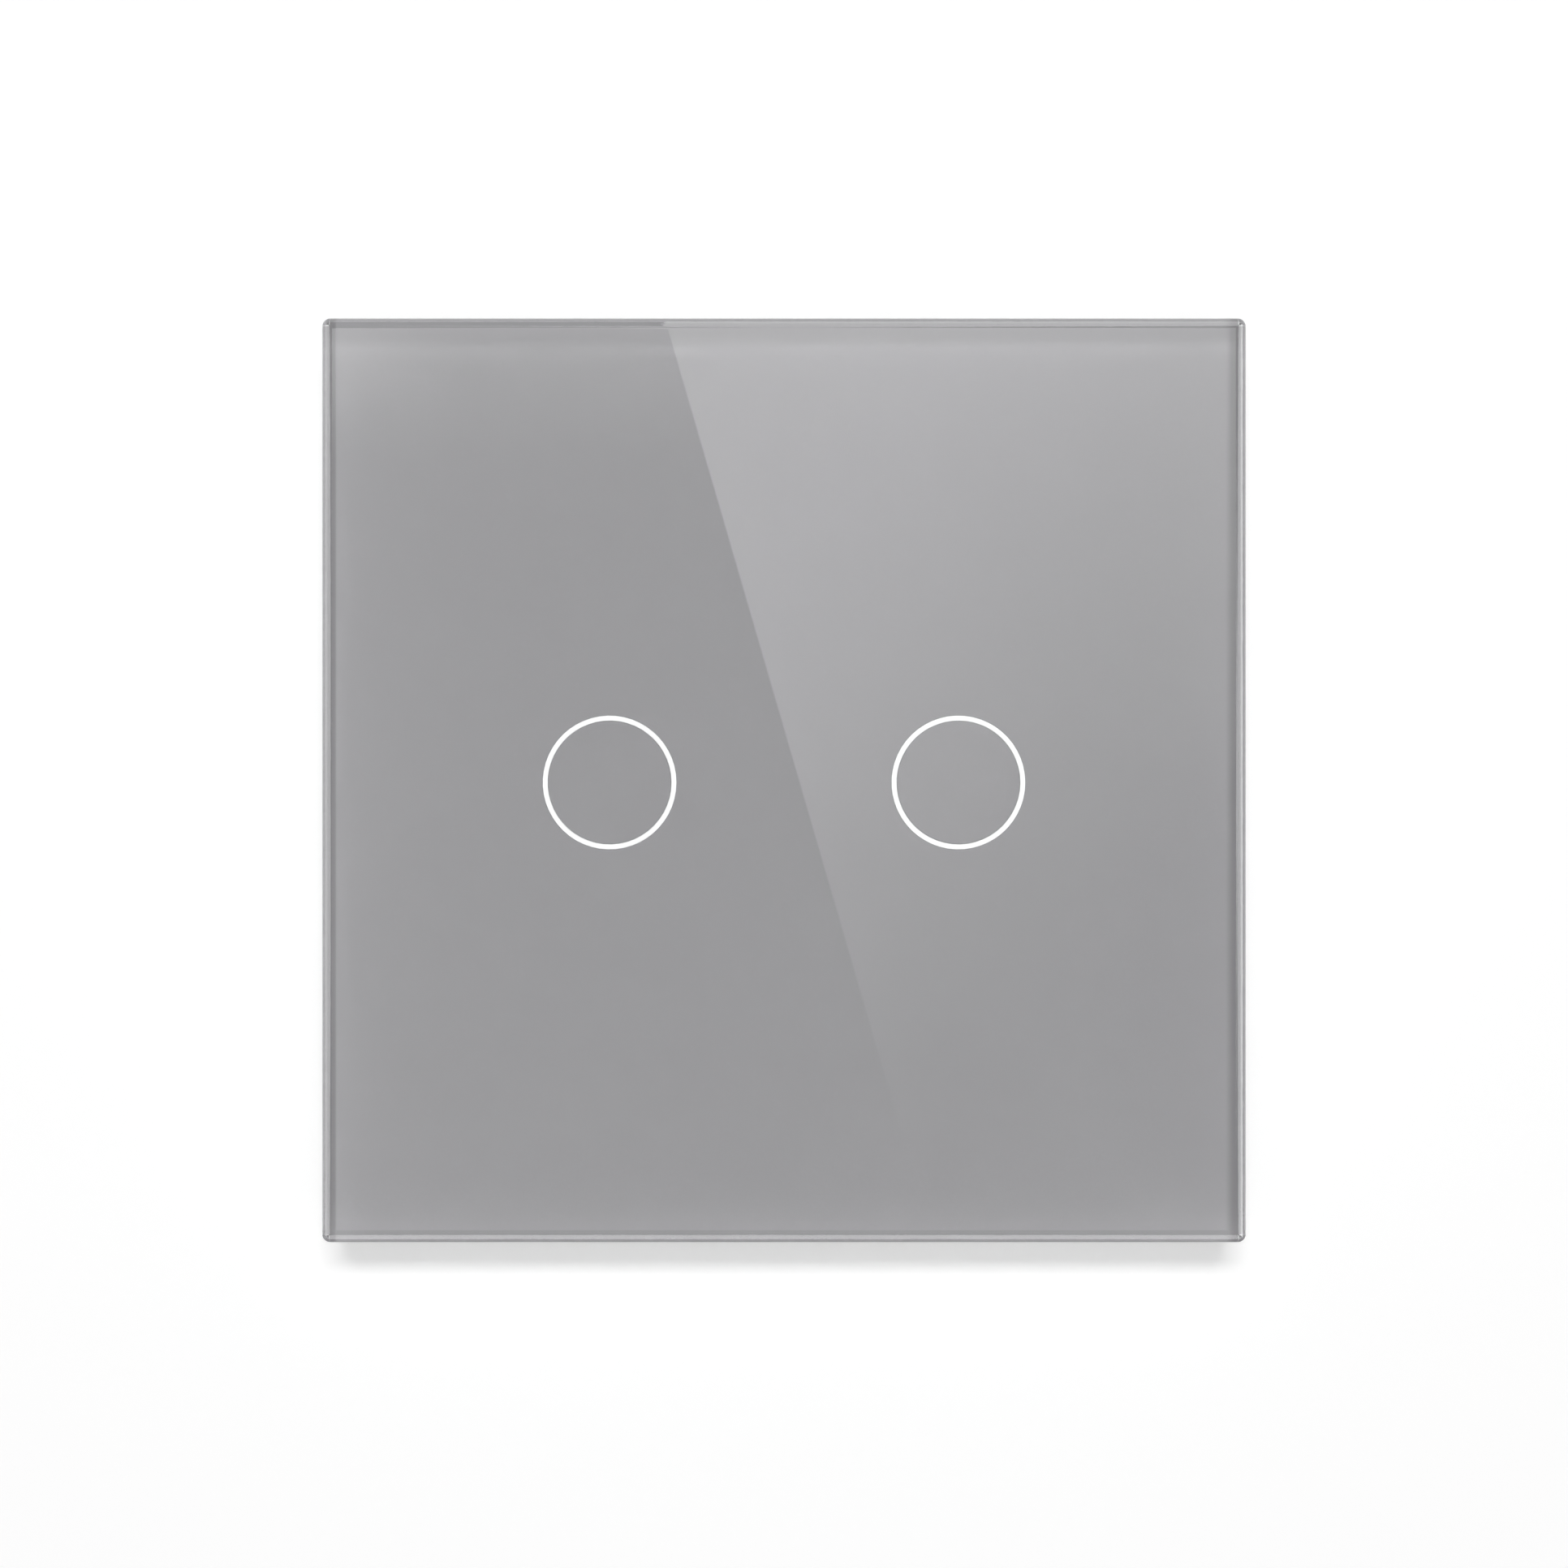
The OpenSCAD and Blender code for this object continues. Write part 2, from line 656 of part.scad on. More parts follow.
module light_guide(side) color([0.95, 0.95, 0.93]) face_on() at_ring(side) difference() {
    union() {
        rod(guide_r, touch_front, guide_front);
        rod(guide_r + guide_flange, cover_inner - guide_flange_t, cover_inner);
    }
    rod(guide_in_r, touch_front - cut, guide_front + cut);
    block(led_l + 2 * led_play, 4 * guide_r, touch_front - cut, touch_front + led_h + led_play);
}

// The spring wire's way, as [place, heading, outward] along its centre line
spring_r = guide_in_r - spring_room - spring_wire / 2;
spring_low = touch_front + spring_wire + spring_bend;
spring_high = spring_front - spring_wire - spring_bend;
RINGS_A_TURN = 8;
RINGS_A_BEND = 3;
WIRE_SIDES = 6;
function spring_outward(angle) = [cos(angle), sin(angle), 0];
function spring_ahead(angle) = [-sin(angle), cos(angle), 0];
function bend_heading(angle, tilt) = spring_ahead(angle) * cos(tilt) + [0, 0, sin(tilt)];
function bend_reach(angle, tilt) = spring_bend * (spring_ahead(angle) * sin(tilt) + [0, 0, 1 - cos(tilt)]);
function spring_coil(angle) = spring_r * spring_outward(angle)
    + [0, 0, spring_low + (spring_high - spring_low) * angle / (360 * spring_turns)];
spring_end = 360 * spring_turns;
spring_way = concat(
    [[spring_coil(0) - bend_reach(0, 90) - [0, 0, spring_wire], [0, 0, 1], spring_outward(0)]],
    [for (i = [0:RINGS_A_BEND - 1]) let (tilt = 90 - 90 * i / RINGS_A_BEND)
        [spring_coil(0) - bend_reach(0, tilt), bend_heading(0, tilt), spring_outward(0)]],
    [for (i = [0:RINGS_A_TURN * spring_turns]) let (angle = 360 * i / RINGS_A_TURN)
        [spring_coil(angle), spring_ahead(angle), spring_outward(angle)]],
    [for (i = [1:RINGS_A_BEND]) let (tilt = 90 * i / RINGS_A_BEND)
        [spring_coil(spring_end) + bend_reach(spring_end, tilt), bend_heading(spring_end, tilt),
         spring_outward(spring_end)]],
    [[spring_coil(spring_end) + bend_reach(spring_end, 90) + [0, 0, spring_wire], [0, 0, 1],
      spring_outward(spring_end)]]
);
spring_least_gap = min([for (i = [0:len(spring_way) - 1], j = [0:len(spring_way) - 1])
    if (j - i >= RINGS_A_TURN / 2) norm(spring_way[i][0] - spring_way[j][0])]) - spring_wire;
echo(str("least gap of a touch spring to itself: ", spring_least_gap, " mm"));

module touch_spring(side) color([0.8, 0.75, 0.6]) face_on() at_ring(side) {
    rings = len(spring_way);
    points = [for (step = spring_way, k = [0:WIRE_SIDES - 1]) let (angle = 360 * k / WIRE_SIDES)
        step[0] + spring_wire / 2 * (step[2] * cos(angle) + cross(step[1], step[2]) * sin(angle))];
    walls = [for (i = [0:rings - 2], k = [0:WIRE_SIDES - 1]) let (
        here = i * WIRE_SIDES + k,
        beside = i * WIRE_SIDES + (k + 1) % WIRE_SIDES)
        each [[here, here + WIRE_SIDES, beside], [beside, here + WIRE_SIDES, beside + WIRE_SIDES]]];
    last = (rings - 1) * WIRE_SIDES;
    ends = [for (k = [1:WIRE_SIDES - 2]) each [[0, k, k + 1], [last, last + k + 1, last + k]]];
    polyhedron(points, concat(walls, ends), convexity = 10);
}

// Touch board and its parts

module header_places() for (i = [0:pin_count - 1])
    translate([(i - (pin_count - 1) / 2) * pin_pitch, header_rise, 0]) children();

module touch_board() color([0.1, 0.35, 0.18]) face_on() slab(touch_back, touch_front) difference() {
    octagon(touch_half, touch_sum);
    for (side = SIDES) translate([0, side * touch_post_at]) circle(board_screw_d / 2 + pass_play);
    header_places() square(pin_w + 2 * pin_play, center = true);
}

module indicator_leds() color([0.95, 0.95, 0.85]) face_on() for (side = SIDES, end = SIDES)
    at_ring(side) translate([0, end * led_at, 0]) {
        block(led_l, led_w, touch_front, touch_front + led_pad_h);
        block(led_l - 2 * led_pad_l, led_w, touch_front, touch_front + led_h);
    }

module touch_controller() color([0.15, 0.15, 0.16]) face_on() translate([0, -chip_drop, 0]) {
    leg_mid = touch_back - chip_h / 2;
    knee = (chip_w + chip_leg_l) / 2;
    toe = chip_w / 2 + chip_leg_l;
    block(chip_l, chip_w, touch_back - chip_h, touch_back - chip_standoff);
    for (i = [0:chip_legs - 1], side = SIDES)
        translate([(i - (chip_legs - 1) / 2) * chip_leg_pitch, 0, 0]) along_x(chip_leg_w)
            polygon([[0, leg_mid], [side * knee, leg_mid], [side * knee, touch_back - chip_leg_t],
                     [side * toe, touch_back - chip_leg_t], [side * toe, touch_back],
                     [side * (knee - chip_leg_t), touch_back],
                     [side * (knee - chip_leg_t), leg_mid + chip_leg_t], [0, leg_mid + chip_leg_t]]);
}

module touch_board_screws() color("silver") face_on() for (side = SIDES)
    translate([0, side * touch_post_at, touch_back]) mirror([0, 0, 1])
        pan_screw(board_head_d, board_screw_d, cover_front - pilot_floor - touch_back - pilot_floor);

module header_body() color([0.1, 0.1, 0.1]) face_on() slab(touch_back - header_h, touch_back) difference() {
    translate([0, header_rise]) square([header_l, header_w], center = true);
    header_places() square(pin_w + 2 * pin_play, center = true);
}

module header_pins() color("gold") face_on() header_places()
    block(pin_w, pin_w, touch_back - header_h - pin_dip, touch_front + pin_out);

module header_socket() color([0.12, 0.12, 0.12]) face_on() difference() {
    translate([0, header_rise, 0]) block(header_l, header_w, power_front, touch_back - header_h);
    header_places() block(pin_w + 2 * pin_play, pin_w + 2 * pin_play,
                          touch_back - header_h - pin_dip - pilot_floor, touch_back);
}

// Power board and its parts

module power_board() color([0.12, 0.3, 0.16]) face_on() slab(power_back, power_front) difference() {
    octagon(power_half, power_sum);
    at_corners(power_screw_at) circle(board_screw_d / 2 + pass_play);
    for (pole = POLES) translate([pole * pole_pitch, leg_y + bar_t / 2])
        square([bar_w + 2 * bar_play, bar_t + 2 * bar_play], center = true);
}

module power_board_screws() color("silver") face_on() at_corners(power_screw_at)
    translate([0, 0, power_front]) pan_screw(board_head_d, board_screw_d, power_screw_l);

module relay(side) color([0.15, 0.3, 0.55]) face_on() translate([side * relay_x, relay_rise, 0]) {
    slab(power_back - relay_base_h, power_back) bevelled_rect(relay_w, relay_l, relay_edge);
    slab(power_back - relay_h, power_back - relay_base_h)
        bevelled_rect(relay_w - 2 * relay_step, relay_l - 2 * relay_step, relay_edge);
}

module film_capacitor() color([0.85, 0.7, 0.15]) face_on()
    translate([(film_cap_w - upper_row_l) / 2, upper_row + film_cap_t / 2, 0])
        slab(power_back - film_cap_h, power_back) bevelled_rect(film_cap_w, film_cap_t, film_cap_edge);

module smoothing_capacitor() color([0.12, 0.14, 0.2]) face_on()
    translate([(upper_row_l - can_d) / 2, upper_row + can_d / 2, power_back])
        mirror([0, 0, 1]) rotate_extrude() {
            can_r = can_d / 2;
            waist_r = can_r - can_groove;
            polygon([[0, 0], [can_r, 0], [can_r, can_groove_at - can_groove], [waist_r, can_groove_at],
                     [can_r, can_groove_at + can_groove], [can_r, can_h - can_groove], [waist_r, can_h],
                     [0, can_h]]);
        }

// Half the outline of a disc or rod with bevelled ends, to be turned round its axis
module bevelled_half(r, l, edge)
    polygon([[0, -l / 2], [r - edge, -l / 2], [r, edge - l / 2],
             [r, l / 2 - edge], [r - edge, l / 2], [0, l / 2]]);

module varistor() color([0.15, 0.3, 0.65]) face_on() translate([side_row, relay_rise, power_back]) {
    axis_z = -disc_lift - disc_d / 2;
    translate([0, 0, axis_z]) rotate([0, 90, 0])
        rotate_extrude() bevelled_half(disc_d / 2, disc_t, disc_edge);
    for (side = SIDES) translate([0, side * disc_lead_pitch / 2, 0]) rod(lead_d / 2, axis_z, 0);
}

module fusible_resistor() color([0.55, 0.65, 0.75]) face_on()
    translate([-side_row, relay_rise, power_back]) {
        axis_z = -fuse_lift - fuse_d / 2;
        lead_y = fuse_l / 2 + lead_d;
        translate([0, 0, axis_z]) rotate([90, 0, 0]) {
            rotate_extrude() bevelled_half(fuse_d / 2, fuse_l, fuse_end);
            rod(lead_d / 2, -lead_y, lead_y);
        }
        for (side = SIDES) translate([0, side * lead_y, 0]) rod(lead_d / 2, axis_z - lead_d / 2, 0);
    }

module bridge_rectifier() color([0.13, 0.13, 0.14]) face_on() translate([-relay_x, lower_row, 0])
    slab(power_back - bridge_h, power_back) polygon([
        [-bridge_l / 2, -bridge_w / 2], [bridge_l / 2, -bridge_w / 2],
        [bridge_l / 2, bridge_w / 2 - bridge_cut], [bridge_l / 2 - bridge_cut, bridge_w / 2],
        [-bridge_l / 2, bridge_w / 2]]);

module choke() color([0.3, 0.2, 0.15]) face_on() translate([relay_x, lower_row, power_back])
    mirror([0, 0, 1]) rotate_extrude() {
        choke_r = choke_d / 2;
        waist_r = choke_r - choke_waist;
        polygon([[0, 0], [choke_r, 0], [choke_r, choke_flange], [waist_r, choke_flange],
                 [waist_r, choke_h - choke_flange], [choke_r, choke_h - choke_flange],
                 [choke_r, choke_h], [0, choke_h]]);
    }

// Screw terminals

// What is cut off round the back of the housing and the poles in it
module back_bevel() for (turn = [0:45:315]) {
    reach = turn % 90 == 0 ? housing_half : housing_sum / root2;
    rotate(turn) along_x(2 * housing_half)
        polygon([[reach - housing_edge - cut, housing_back - cut],
                 [reach + cut, housing_back + housing_edge + cut], [reach + cut, housing_back - cut]]);
}

module at_pole(pole) translate([pole * pole_pitch, 0, 0]) children();

module terminal_pole(pole) color([0.9, 0.9, 0.88]) face_on() at_pole(pole) difference() {
    translate([0, (pole_front_y + pole_end_y) / 2, 0])
        block(pole_w, pole_end_y - pole_front_y, housing_back, power_back);
    translate([0, pole_mid_y, 0]) {
        block(cage_w + 2 * cage_play, cage_l + 2 * cage_play, cavity_back, cavity_front);
        rod(clamp_screw_d / 2 + pass_play, clamp_head_seat - cut, cavity_back + cut);
        rod(clamp_head_d / 2 + clamp_head_play, housing_back - cut, clamp_head_seat);
    }
    // Slot that the contact bar and its leg are pushed into
    translate([0, (cavity_end_y - cut + leg_y + bar_t + bar_play) / 2, 0])
        block(bar_w + 2 * bar_play, leg_y + bar_t + bar_play - cavity_end_y + cut,
              bar_back - bar_play, power_back + cut);
    back_bevel();
    translate([0, pole_front_y, wire_z]) rotate([-90, 0, 0]) {
        rod(wire_d / 2, -cut, entry_wall + cut);
        cylinder(r1 = wire_d / 2 + funnel_depth, r2 = wire_d / 2, h = funnel_depth);
    }
}

module terminal_contacts() color("goldenrod") face_on() for (pole = POLES) at_pole(pole) along_x(bar_w)
    polygon([[cavity_y + cage_play, bar_back], [leg_y + bar_t, bar_back],
             [leg_y + bar_t, power_front + bar_out], [leg_y, power_front + bar_out],
             [leg_y, bar_front], [cavity_y + cage_play, bar_front]]);

module terminal_screw(pole) color([0.75, 0.75, 0.72]) face_on() at_pole(pole)
    translate([0, pole_mid_y, 0]) difference() {
        union() {
            rod(clamp_head_d / 2, clamp_head_back, clamp_head_seat);
            rod(clamp_screw_d / 2, clamp_head_seat, bar_back);
        }
        block(clamp_slot_w, clamp_head_d + cut, clamp_head_back - cut, clamp_head_back + clamp_slot_depth);
    }

module clamp_cage(pole) color([0.82, 0.8, 0.7]) face_on() at_pole(pole) difference() {
    along_y(pole_mid_y - cage_l / 2, pole_mid_y + cage_l / 2) difference() {
        translate([-cage_w / 2, cage_nut_back]) square([cage_w, cage_front - cage_nut_back]);
        translate([-cage_in_w / 2, cage_nut_front]) square([cage_in_w, cage_floor_back - cage_nut_front]);
    }
    translate([0, pole_mid_y, 0])
        rod(clamp_screw_d / 2 + thread_play, cage_nut_back - cut, cage_nut_front + cut);
}

// Yoke, rear housing and its screws

module lug_outline(r) {
    reach = case_screw_at * root2 - inner_sum / root2;
    for (turn = [45, 135, 225, 315]) rotate(turn) {
        translate([case_screw_at * root2, 0]) circle(r);
        translate([case_screw_at * root2 - reach, -r]) square([reach, 2 * r]);
    }
}

module yoke() color([0.78, 0.79, 0.8]) face_on() difference() {
    slab(0, yoke_t) difference() {
        rounded_rect(yoke_w, yoke_h, yoke_corner_r);
        octagon(inner_half, inner_sum);
        for (side = SIDES) {
            translate([side * fixing_pitch / 2, 0]) slot_outline(slot_l, slot_w);
            translate([0, side * fixing_pitch / 2]) rotate(90) slot_outline(slot_l, slot_w);
        }
        at_corners(case_screw_at) circle(case_hole_r);
    }
    slab(-cut, seat_depth) {
        octagon(housing_half + seat_play, housing_sum + seat_play * root2);
        lug_outline(lug_r + seat_play);
    }
}

module vent_row() for (i = [0:vent_count - 1])
    translate([(i - (vent_count - 1) / 2) * vent_pitch, 0]) children();

module rear_housing() color([0.93, 0.93, 0.92]) face_on() difference() {
    union() {
        difference() {
            slab(housing_back, seat_depth) octagon(housing_half, housing_sum);
            slab(rear_inner, seat_depth + cut) octagon(inner_half, inner_sum);
        }
        slab(seat_depth - lug_t, seat_depth) difference() {
            lug_outline(lug_r);
            octagon(inner_half, inner_sum);
        }
        at_corners(power_screw_at) rod(post_d / 2, rear_inner - housing_wall / 2, power_back);
        for (side = SIDES, i = [-1:1])
            translate([side * (housing_half + side_rib / 2 - housing_wall / 4), i * side_rib_pitch, 0])
                block(side_rib + housing_wall / 2, side_rib_w,
                      housing_back + housing_edge, -side_rib_start);
    }
    back_bevel();
    at_corners(case_screw_at) rod(case_hole_r, -lug_t - cut, seat_depth + cut);
    at_corners(power_screw_at) rod(board_screw_d / 2 + pilot_play, rear_inner, power_back + cut);
    // Open corner for the terminal poles
    translate([0, (pole_front_y + pole_end_y) / 2, 0])
        block(block_w + 2 * pole_play, pole_end_y - pole_front_y + 2 * pole_play,
              housing_back - cut, power_back + pole_play);
    translate([0, relay_rise, 0]) slab(housing_back - cut, rear_inner + cut)
        vent_row() rotate(90) slot_outline(vent_l, vent_w);
    translate([0, housing_half, (power_back + rear_inner) / 2]) rotate([90, 0, 0])
        slab(-cut, housing_wall + cut) vent_row() rotate(90) slot_outline(vent_l, vent_w);
}

module housing_screws() color("silver") face_on() at_corners(case_screw_at)
    translate([0, 0, seat_depth - lug_t]) mirror([0, 0, 1])
        pan_screw(case_head_d, case_screw_d, cover_front - 2 * pilot_floor + lug_t - seat_depth);

glass_panel();
backing_film();
ring_window(-1);  // ring_window_left
ring_window(1);  // ring_window_right
adhesive_tape();
panel_frame();
yoke();
front_cover();
light_guide(-1);  // light_guide_left
light_guide(1);  // light_guide_right
touch_spring(-1);  // touch_spring_left
touch_spring(1);  // touch_spring_right
touch_board();
indicator_leds();
touch_controller();
touch_board_screws();
header_body();
header_pins();
header_socket();
power_board();
power_board_screws();
relay(-1);  // relay_left
relay(1);  // relay_right
film_capacitor();
smoothing_capacitor();
varistor();
fusible_resistor();
bridge_rectifier();
choke();
terminal_pole(-1);  // terminal_pole_left
terminal_pole(0);  // terminal_pole_middle
terminal_pole(1);  // terminal_pole_right
terminal_contacts();
terminal_screw(-1);  // terminal_screw_left
terminal_screw(0);  // terminal_screw_middle
terminal_screw(1);  // terminal_screw_right
clamp_cage(-1);  // clamp_cage_left
clamp_cage(0);  // clamp_cage_middle
clamp_cage(1);  // clamp_cage_right
rear_housing();
housing_screws();
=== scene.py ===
"""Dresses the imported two-gang touch switch: polished glass, printed film, mouldings, metal and its studio."""

import math

import bmesh
import bpy
from bpy.props import FloatProperty, FloatVectorProperty, IntProperty, PointerProperty
from bpy.types import Operator, Panel, PropertyGroup
from mathutils import Matrix, Vector


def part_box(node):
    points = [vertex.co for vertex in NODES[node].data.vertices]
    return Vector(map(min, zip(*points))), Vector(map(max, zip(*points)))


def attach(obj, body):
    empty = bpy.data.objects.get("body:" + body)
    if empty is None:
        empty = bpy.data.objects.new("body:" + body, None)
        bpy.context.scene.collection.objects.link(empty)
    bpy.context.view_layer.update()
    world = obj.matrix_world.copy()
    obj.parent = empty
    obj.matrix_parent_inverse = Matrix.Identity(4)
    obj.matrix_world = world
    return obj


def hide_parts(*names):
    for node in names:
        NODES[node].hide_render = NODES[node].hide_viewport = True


bl_info = {
    "name": "Touch switch looks",
    "version": (1, 0, 0),
    "blender": (4, 5, 0),
    "location": "View3D > Sidebar > Touch switch",
    "description": "Finishes the pieces of a glass touch switch and lights them",
    "category": "Object",
}

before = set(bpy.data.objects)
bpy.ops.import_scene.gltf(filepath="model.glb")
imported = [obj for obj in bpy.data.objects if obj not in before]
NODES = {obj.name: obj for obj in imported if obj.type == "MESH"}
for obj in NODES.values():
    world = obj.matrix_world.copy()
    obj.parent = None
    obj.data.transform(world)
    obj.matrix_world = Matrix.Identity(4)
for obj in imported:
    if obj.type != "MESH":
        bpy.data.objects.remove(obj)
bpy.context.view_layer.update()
MM = 0.001

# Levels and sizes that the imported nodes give
GLASS_LOW, GLASS_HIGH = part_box("glass_panel")
HOUSING_LOW, HOUSING_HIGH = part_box("rear_housing")
GLASS_FRONT = GLASS_LOW.y

BLACK = (0.0, 0.0, 0.0, 1.0)
WHITE = (1.0, 1.0, 1.0, 1.0)

# Points nearer than this are one point
SAME_POINT = 0.0001 * MM

# Places of the sockets of a Mix node that blends two colours
MIX_FACTOR, MIX_FIRST, MIX_SECOND = 0, 6, 7
MIX_COLOUR = 2


# Node trees

class Value:
    """One socket of a node tree; sums written with it add Math nodes."""

    def __init__(self, sheet, socket):
        self.sheet = sheet
        self.socket = socket

    def maths(self, operation, first, second, clamp=False):
        settings = {"operation": operation, "use_clamp": clamp}
        return self.sheet.node("ShaderNodeMath", settings, {0: first, 1: second})

    def __add__(self, other):
        return self.maths("ADD", self, other)

    def __radd__(self, other):
        return self.maths("ADD", other, self)

    def __sub__(self, other):
        return self.maths("SUBTRACT", self, other)

    def __rsub__(self, other):
        return self.maths("SUBTRACT", other, self)

    def __mul__(self, other):
        return self.maths("MULTIPLY", self, other)

    def __rmul__(self, other):
        return self.maths("MULTIPLY", other, self)

    def __truediv__(self, other):
        return self.maths("DIVIDE", self, other)

    def __gt__(self, other):
        return self.maths("GREATER_THAN", self, other)

    def at_least(self, other):
        return self.maths("MAXIMUM", self, other)

    def clipped(self):
        return self.maths("ADD", self, 0.0, clamp=True)

    def between(self, low, high):
        """0 below low, 1 above high and a smooth rise between them."""
        settings = {"interpolation_type": "SMOOTHSTEP"}
        inputs = {"Value": self, "From Min": low, "From Max": high}
        return self.sheet.node("ShaderNodeMapRange", settings, inputs)


class Sheet:
    """The node tree of one finish, or of the world."""

    def __init__(self, owner):
        owner.use_nodes = True
        self.owner = owner
        self.tree = owner.node_tree
        self.tree.nodes.clear()

    def node(self, kind, settings=None, inputs=None, output=0):
        """Adds a node, makes its settings, feeds its sockets and gives one of its outputs."""
        node = self.tree.nodes.new(kind)
        for name, value in (settings or {}).items():
            setattr(node, name, value)
        for name, value in (inputs or {}).items():
            if isinstance(value, Value):
                self.tree.links.new(value.socket, node.inputs[name])
            else:
                node.inputs[name].default_value = value
        return Value(self, node.outputs[output])

    def place(self, scale=(1.0, 1.0, 1.0)):
        """Object coordinates, stretched."""
        where = self.node("ShaderNodeTexCoord", output="Object")
        return self.node("ShaderNodeMapping", None, {"Vector": where, "Scale": scale})

    def axis(self, name):
        """One of the three Object coordinates."""
        return self.node("ShaderNodeSeparateXYZ", None, {"Vector": self.place()}, output=name)

    def noise(self, scale, detail, where=None):
        inputs = {"Vector": where or self.place(), "Scale": scale, "Detail": detail}
        return self.node("ShaderNodeTexNoise", None, inputs)

    def blend(self, factor, first, second):
        """A colour between two others."""
        inputs = {MIX_FACTOR: factor, MIX_FIRST: first, MIX_SECOND: second}
        return self.node("ShaderNodeMix", {"data_type": "RGBA"}, inputs, MIX_COLOUR)

    def bump(self, height, distance, strength):
        inputs = {"Height": height, "Distance": distance, "Strength": strength}
        return self.node("ShaderNodeBump", None, inputs)

    def principled(self, inputs):
        return self.node("ShaderNodeBsdfPrincipled", None, inputs)

    def surface(self, shader, kind="ShaderNodeOutputMaterial"):
        end = self.tree.nodes.new(kind)
        self.tree.links.new(shader.socket, end.inputs["Surface"])
        return self.owner


def new_sheet(name):
    return Sheet(bpy.data.materials.new(name))


def shade(colour, share):
    """The colour, lighter or darker by a share, with full alpha."""
    return tuple(min(1.0, part * share) for part in colour[:3]) + (1.0,)


# Finishes

def moulded_plastic(name, colour, roughness=0.52, grain_size=0.12, depth=0.006, gloss=0.3):
    """Matte moulding with a fine spark-eroded grain and a slow change of tone."""
    sheet = new_sheet(name)
    grain = sheet.noise(1 / (grain_size * MM), detail=2.0)
    cloud = sheet.noise(70.0, detail=3.0)
    tone = (0.7 * cloud + 0.3 * grain).clipped()
    shader = sheet.principled({
        "Base Color": sheet.blend(tone, shade(colour, 0.9), shade(colour, 1.08)),
        "Roughness": roughness + 0.12 * (grain - 0.5) + 0.06 * (cloud - 0.5),
        "Normal": sheet.bump(grain, depth * MM, strength=0.6),
        "IOR": 1.5,
        "Specular IOR Level": gloss,
    })
    return sheet.surface(shader)


def glossy_plastic(name, colour, roughness):
    """Smooth moulded or dipped resin, with faint flow marks."""
    sheet = new_sheet(name)
    flow = sheet.noise(260.0, detail=3.0, where=sheet.place((1.0, 0.4, 1.0)))
    fine = sheet.noise(4000.0, detail=1.0)
    shader = sheet.principled({
        "Base Color": sheet.blend(flow, shade(colour, 0.88), shade(colour, 1.1)),
        "Roughness": roughness + 0.1 * (flow - 0.5) + 0.05 * (fine - 0.5),
        "Normal": sheet.bump(flow, 0.02 * MM, strength=0.3),
        "Coat Weight": 0.15 + 0.1 * flow,
        "Coat Roughness": 0.15,
    })
    return sheet.surface(shader)


def plated_metal(name, colour, roughness, stretch=(1.0, 1.0, 1.0), spangle=900.0):
    """Plated or drawn metal: a cloudy plating over fine lines."""
    sheet = new_sheet(name)
    cloud = sheet.noise(spangle, detail=3.0)
    lines = sheet.noise(5200.0, detail=2.0, where=sheet.place(stretch))
    stain = sheet.noise(110.0, detail=4.0)
    tone = (0.5 * cloud + 0.3 * lines + 0.2 * stain).clipped()
    shader = sheet.principled({
        "Base Color": sheet.blend(tone, shade(colour, 0.82), shade(colour, 1.12)),
        "Roughness": roughness + 0.16 * (cloud - 0.5) + 0.12 * (lines - 0.5),
        "Metallic": 1.0,
        "Normal": sheet.bump(lines, 0.004 * MM, strength=0.5),
    })
    return sheet.surface(shader)


def polished_glass(name, tint):
    """Clear float glass with hardly any waviness."""
    sheet = new_sheet(name)
    wave = sheet.noise(24.0, detail=1.0)
    shader = sheet.principled({
        "Base Color": sheet.blend(wave, shade(tint, 0.995), shade(tint, 1.0)),
        "Roughness": 0.004 * wave,
        "Transmission Weight": 1.0,
        "IOR": 1.52,
    })
    return sheet.surface(shader)


def printed_grey(name, colour):
    """Screen print behind the glass: an even grey and fine ink grain, with painted shade in a darker band along
    three edges.
    """
    sheet = new_sheet(name)
    grain = sheet.noise(6500.0, detail=2.0)
    mesh_marks = sheet.noise(420.0, detail=3.0)
    tone = (0.65 * grain + 0.35 * mesh_marks).clipped()
    ink = sheet.blend(tone, shade(colour, 0.965), shade(colour, 1.035))
    from_left = sheet.axis("X") - GLASS_LOW.x
    from_right = GLASS_HIGH.x - sheet.axis("X")
    from_below = sheet.axis("Z") - GLASS_LOW.z
    # Painted shade: the print darkens in a band just inside the left, right and bottom edges. It is as deep on
    # the left as on the right but wider on the right, and half as deep at the bottom. It stands in for the dark
    # line that the polished glass edge shows.
    left_edge_shade = 1 - from_left.between(0.85 * MM, 1.15 * MM)
    right_edge_shade = 1 - from_right.between(0.85 * MM, 1.7 * MM)
    bottom_edge_shade = 1 - from_below.between(0.82 * MM, 0.9 * MM)
    bottom_shade_share = 0.5
    rim = left_edge_shade.at_least(right_edge_shade).at_least(bottom_shade_share * bottom_edge_shade)
    shader = sheet.principled({
        # The painted edge shade takes the grey down to 0.7 of its colour.
        "Base Color": sheet.blend(rim, ink, shade(colour, 0.7)),
        "Roughness": 0.62 + 0.08 * (grain - 0.5),
        "Specular IOR Level": 0.0,
    })
    return sheet.surface(shader)


def printed_white(name, colour, glow):
    """Translucent white print that a lamp behind it lifts a little."""
    sheet = new_sheet(name)
    grain = sheet.noise(6500.0, detail=2.0)
    white = sheet.blend(grain, shade(colour, 0.985), shade(colour, 1.0))
    shader = sheet.principled({
        "Base Color": white,
        "Roughness": 0.55 + 0.08 * (grain - 0.5),
        "Specular IOR Level": 0.0,
        "Emission Color": white,
        "Emission Strength": glow,
    })
    return sheet.surface(shader)


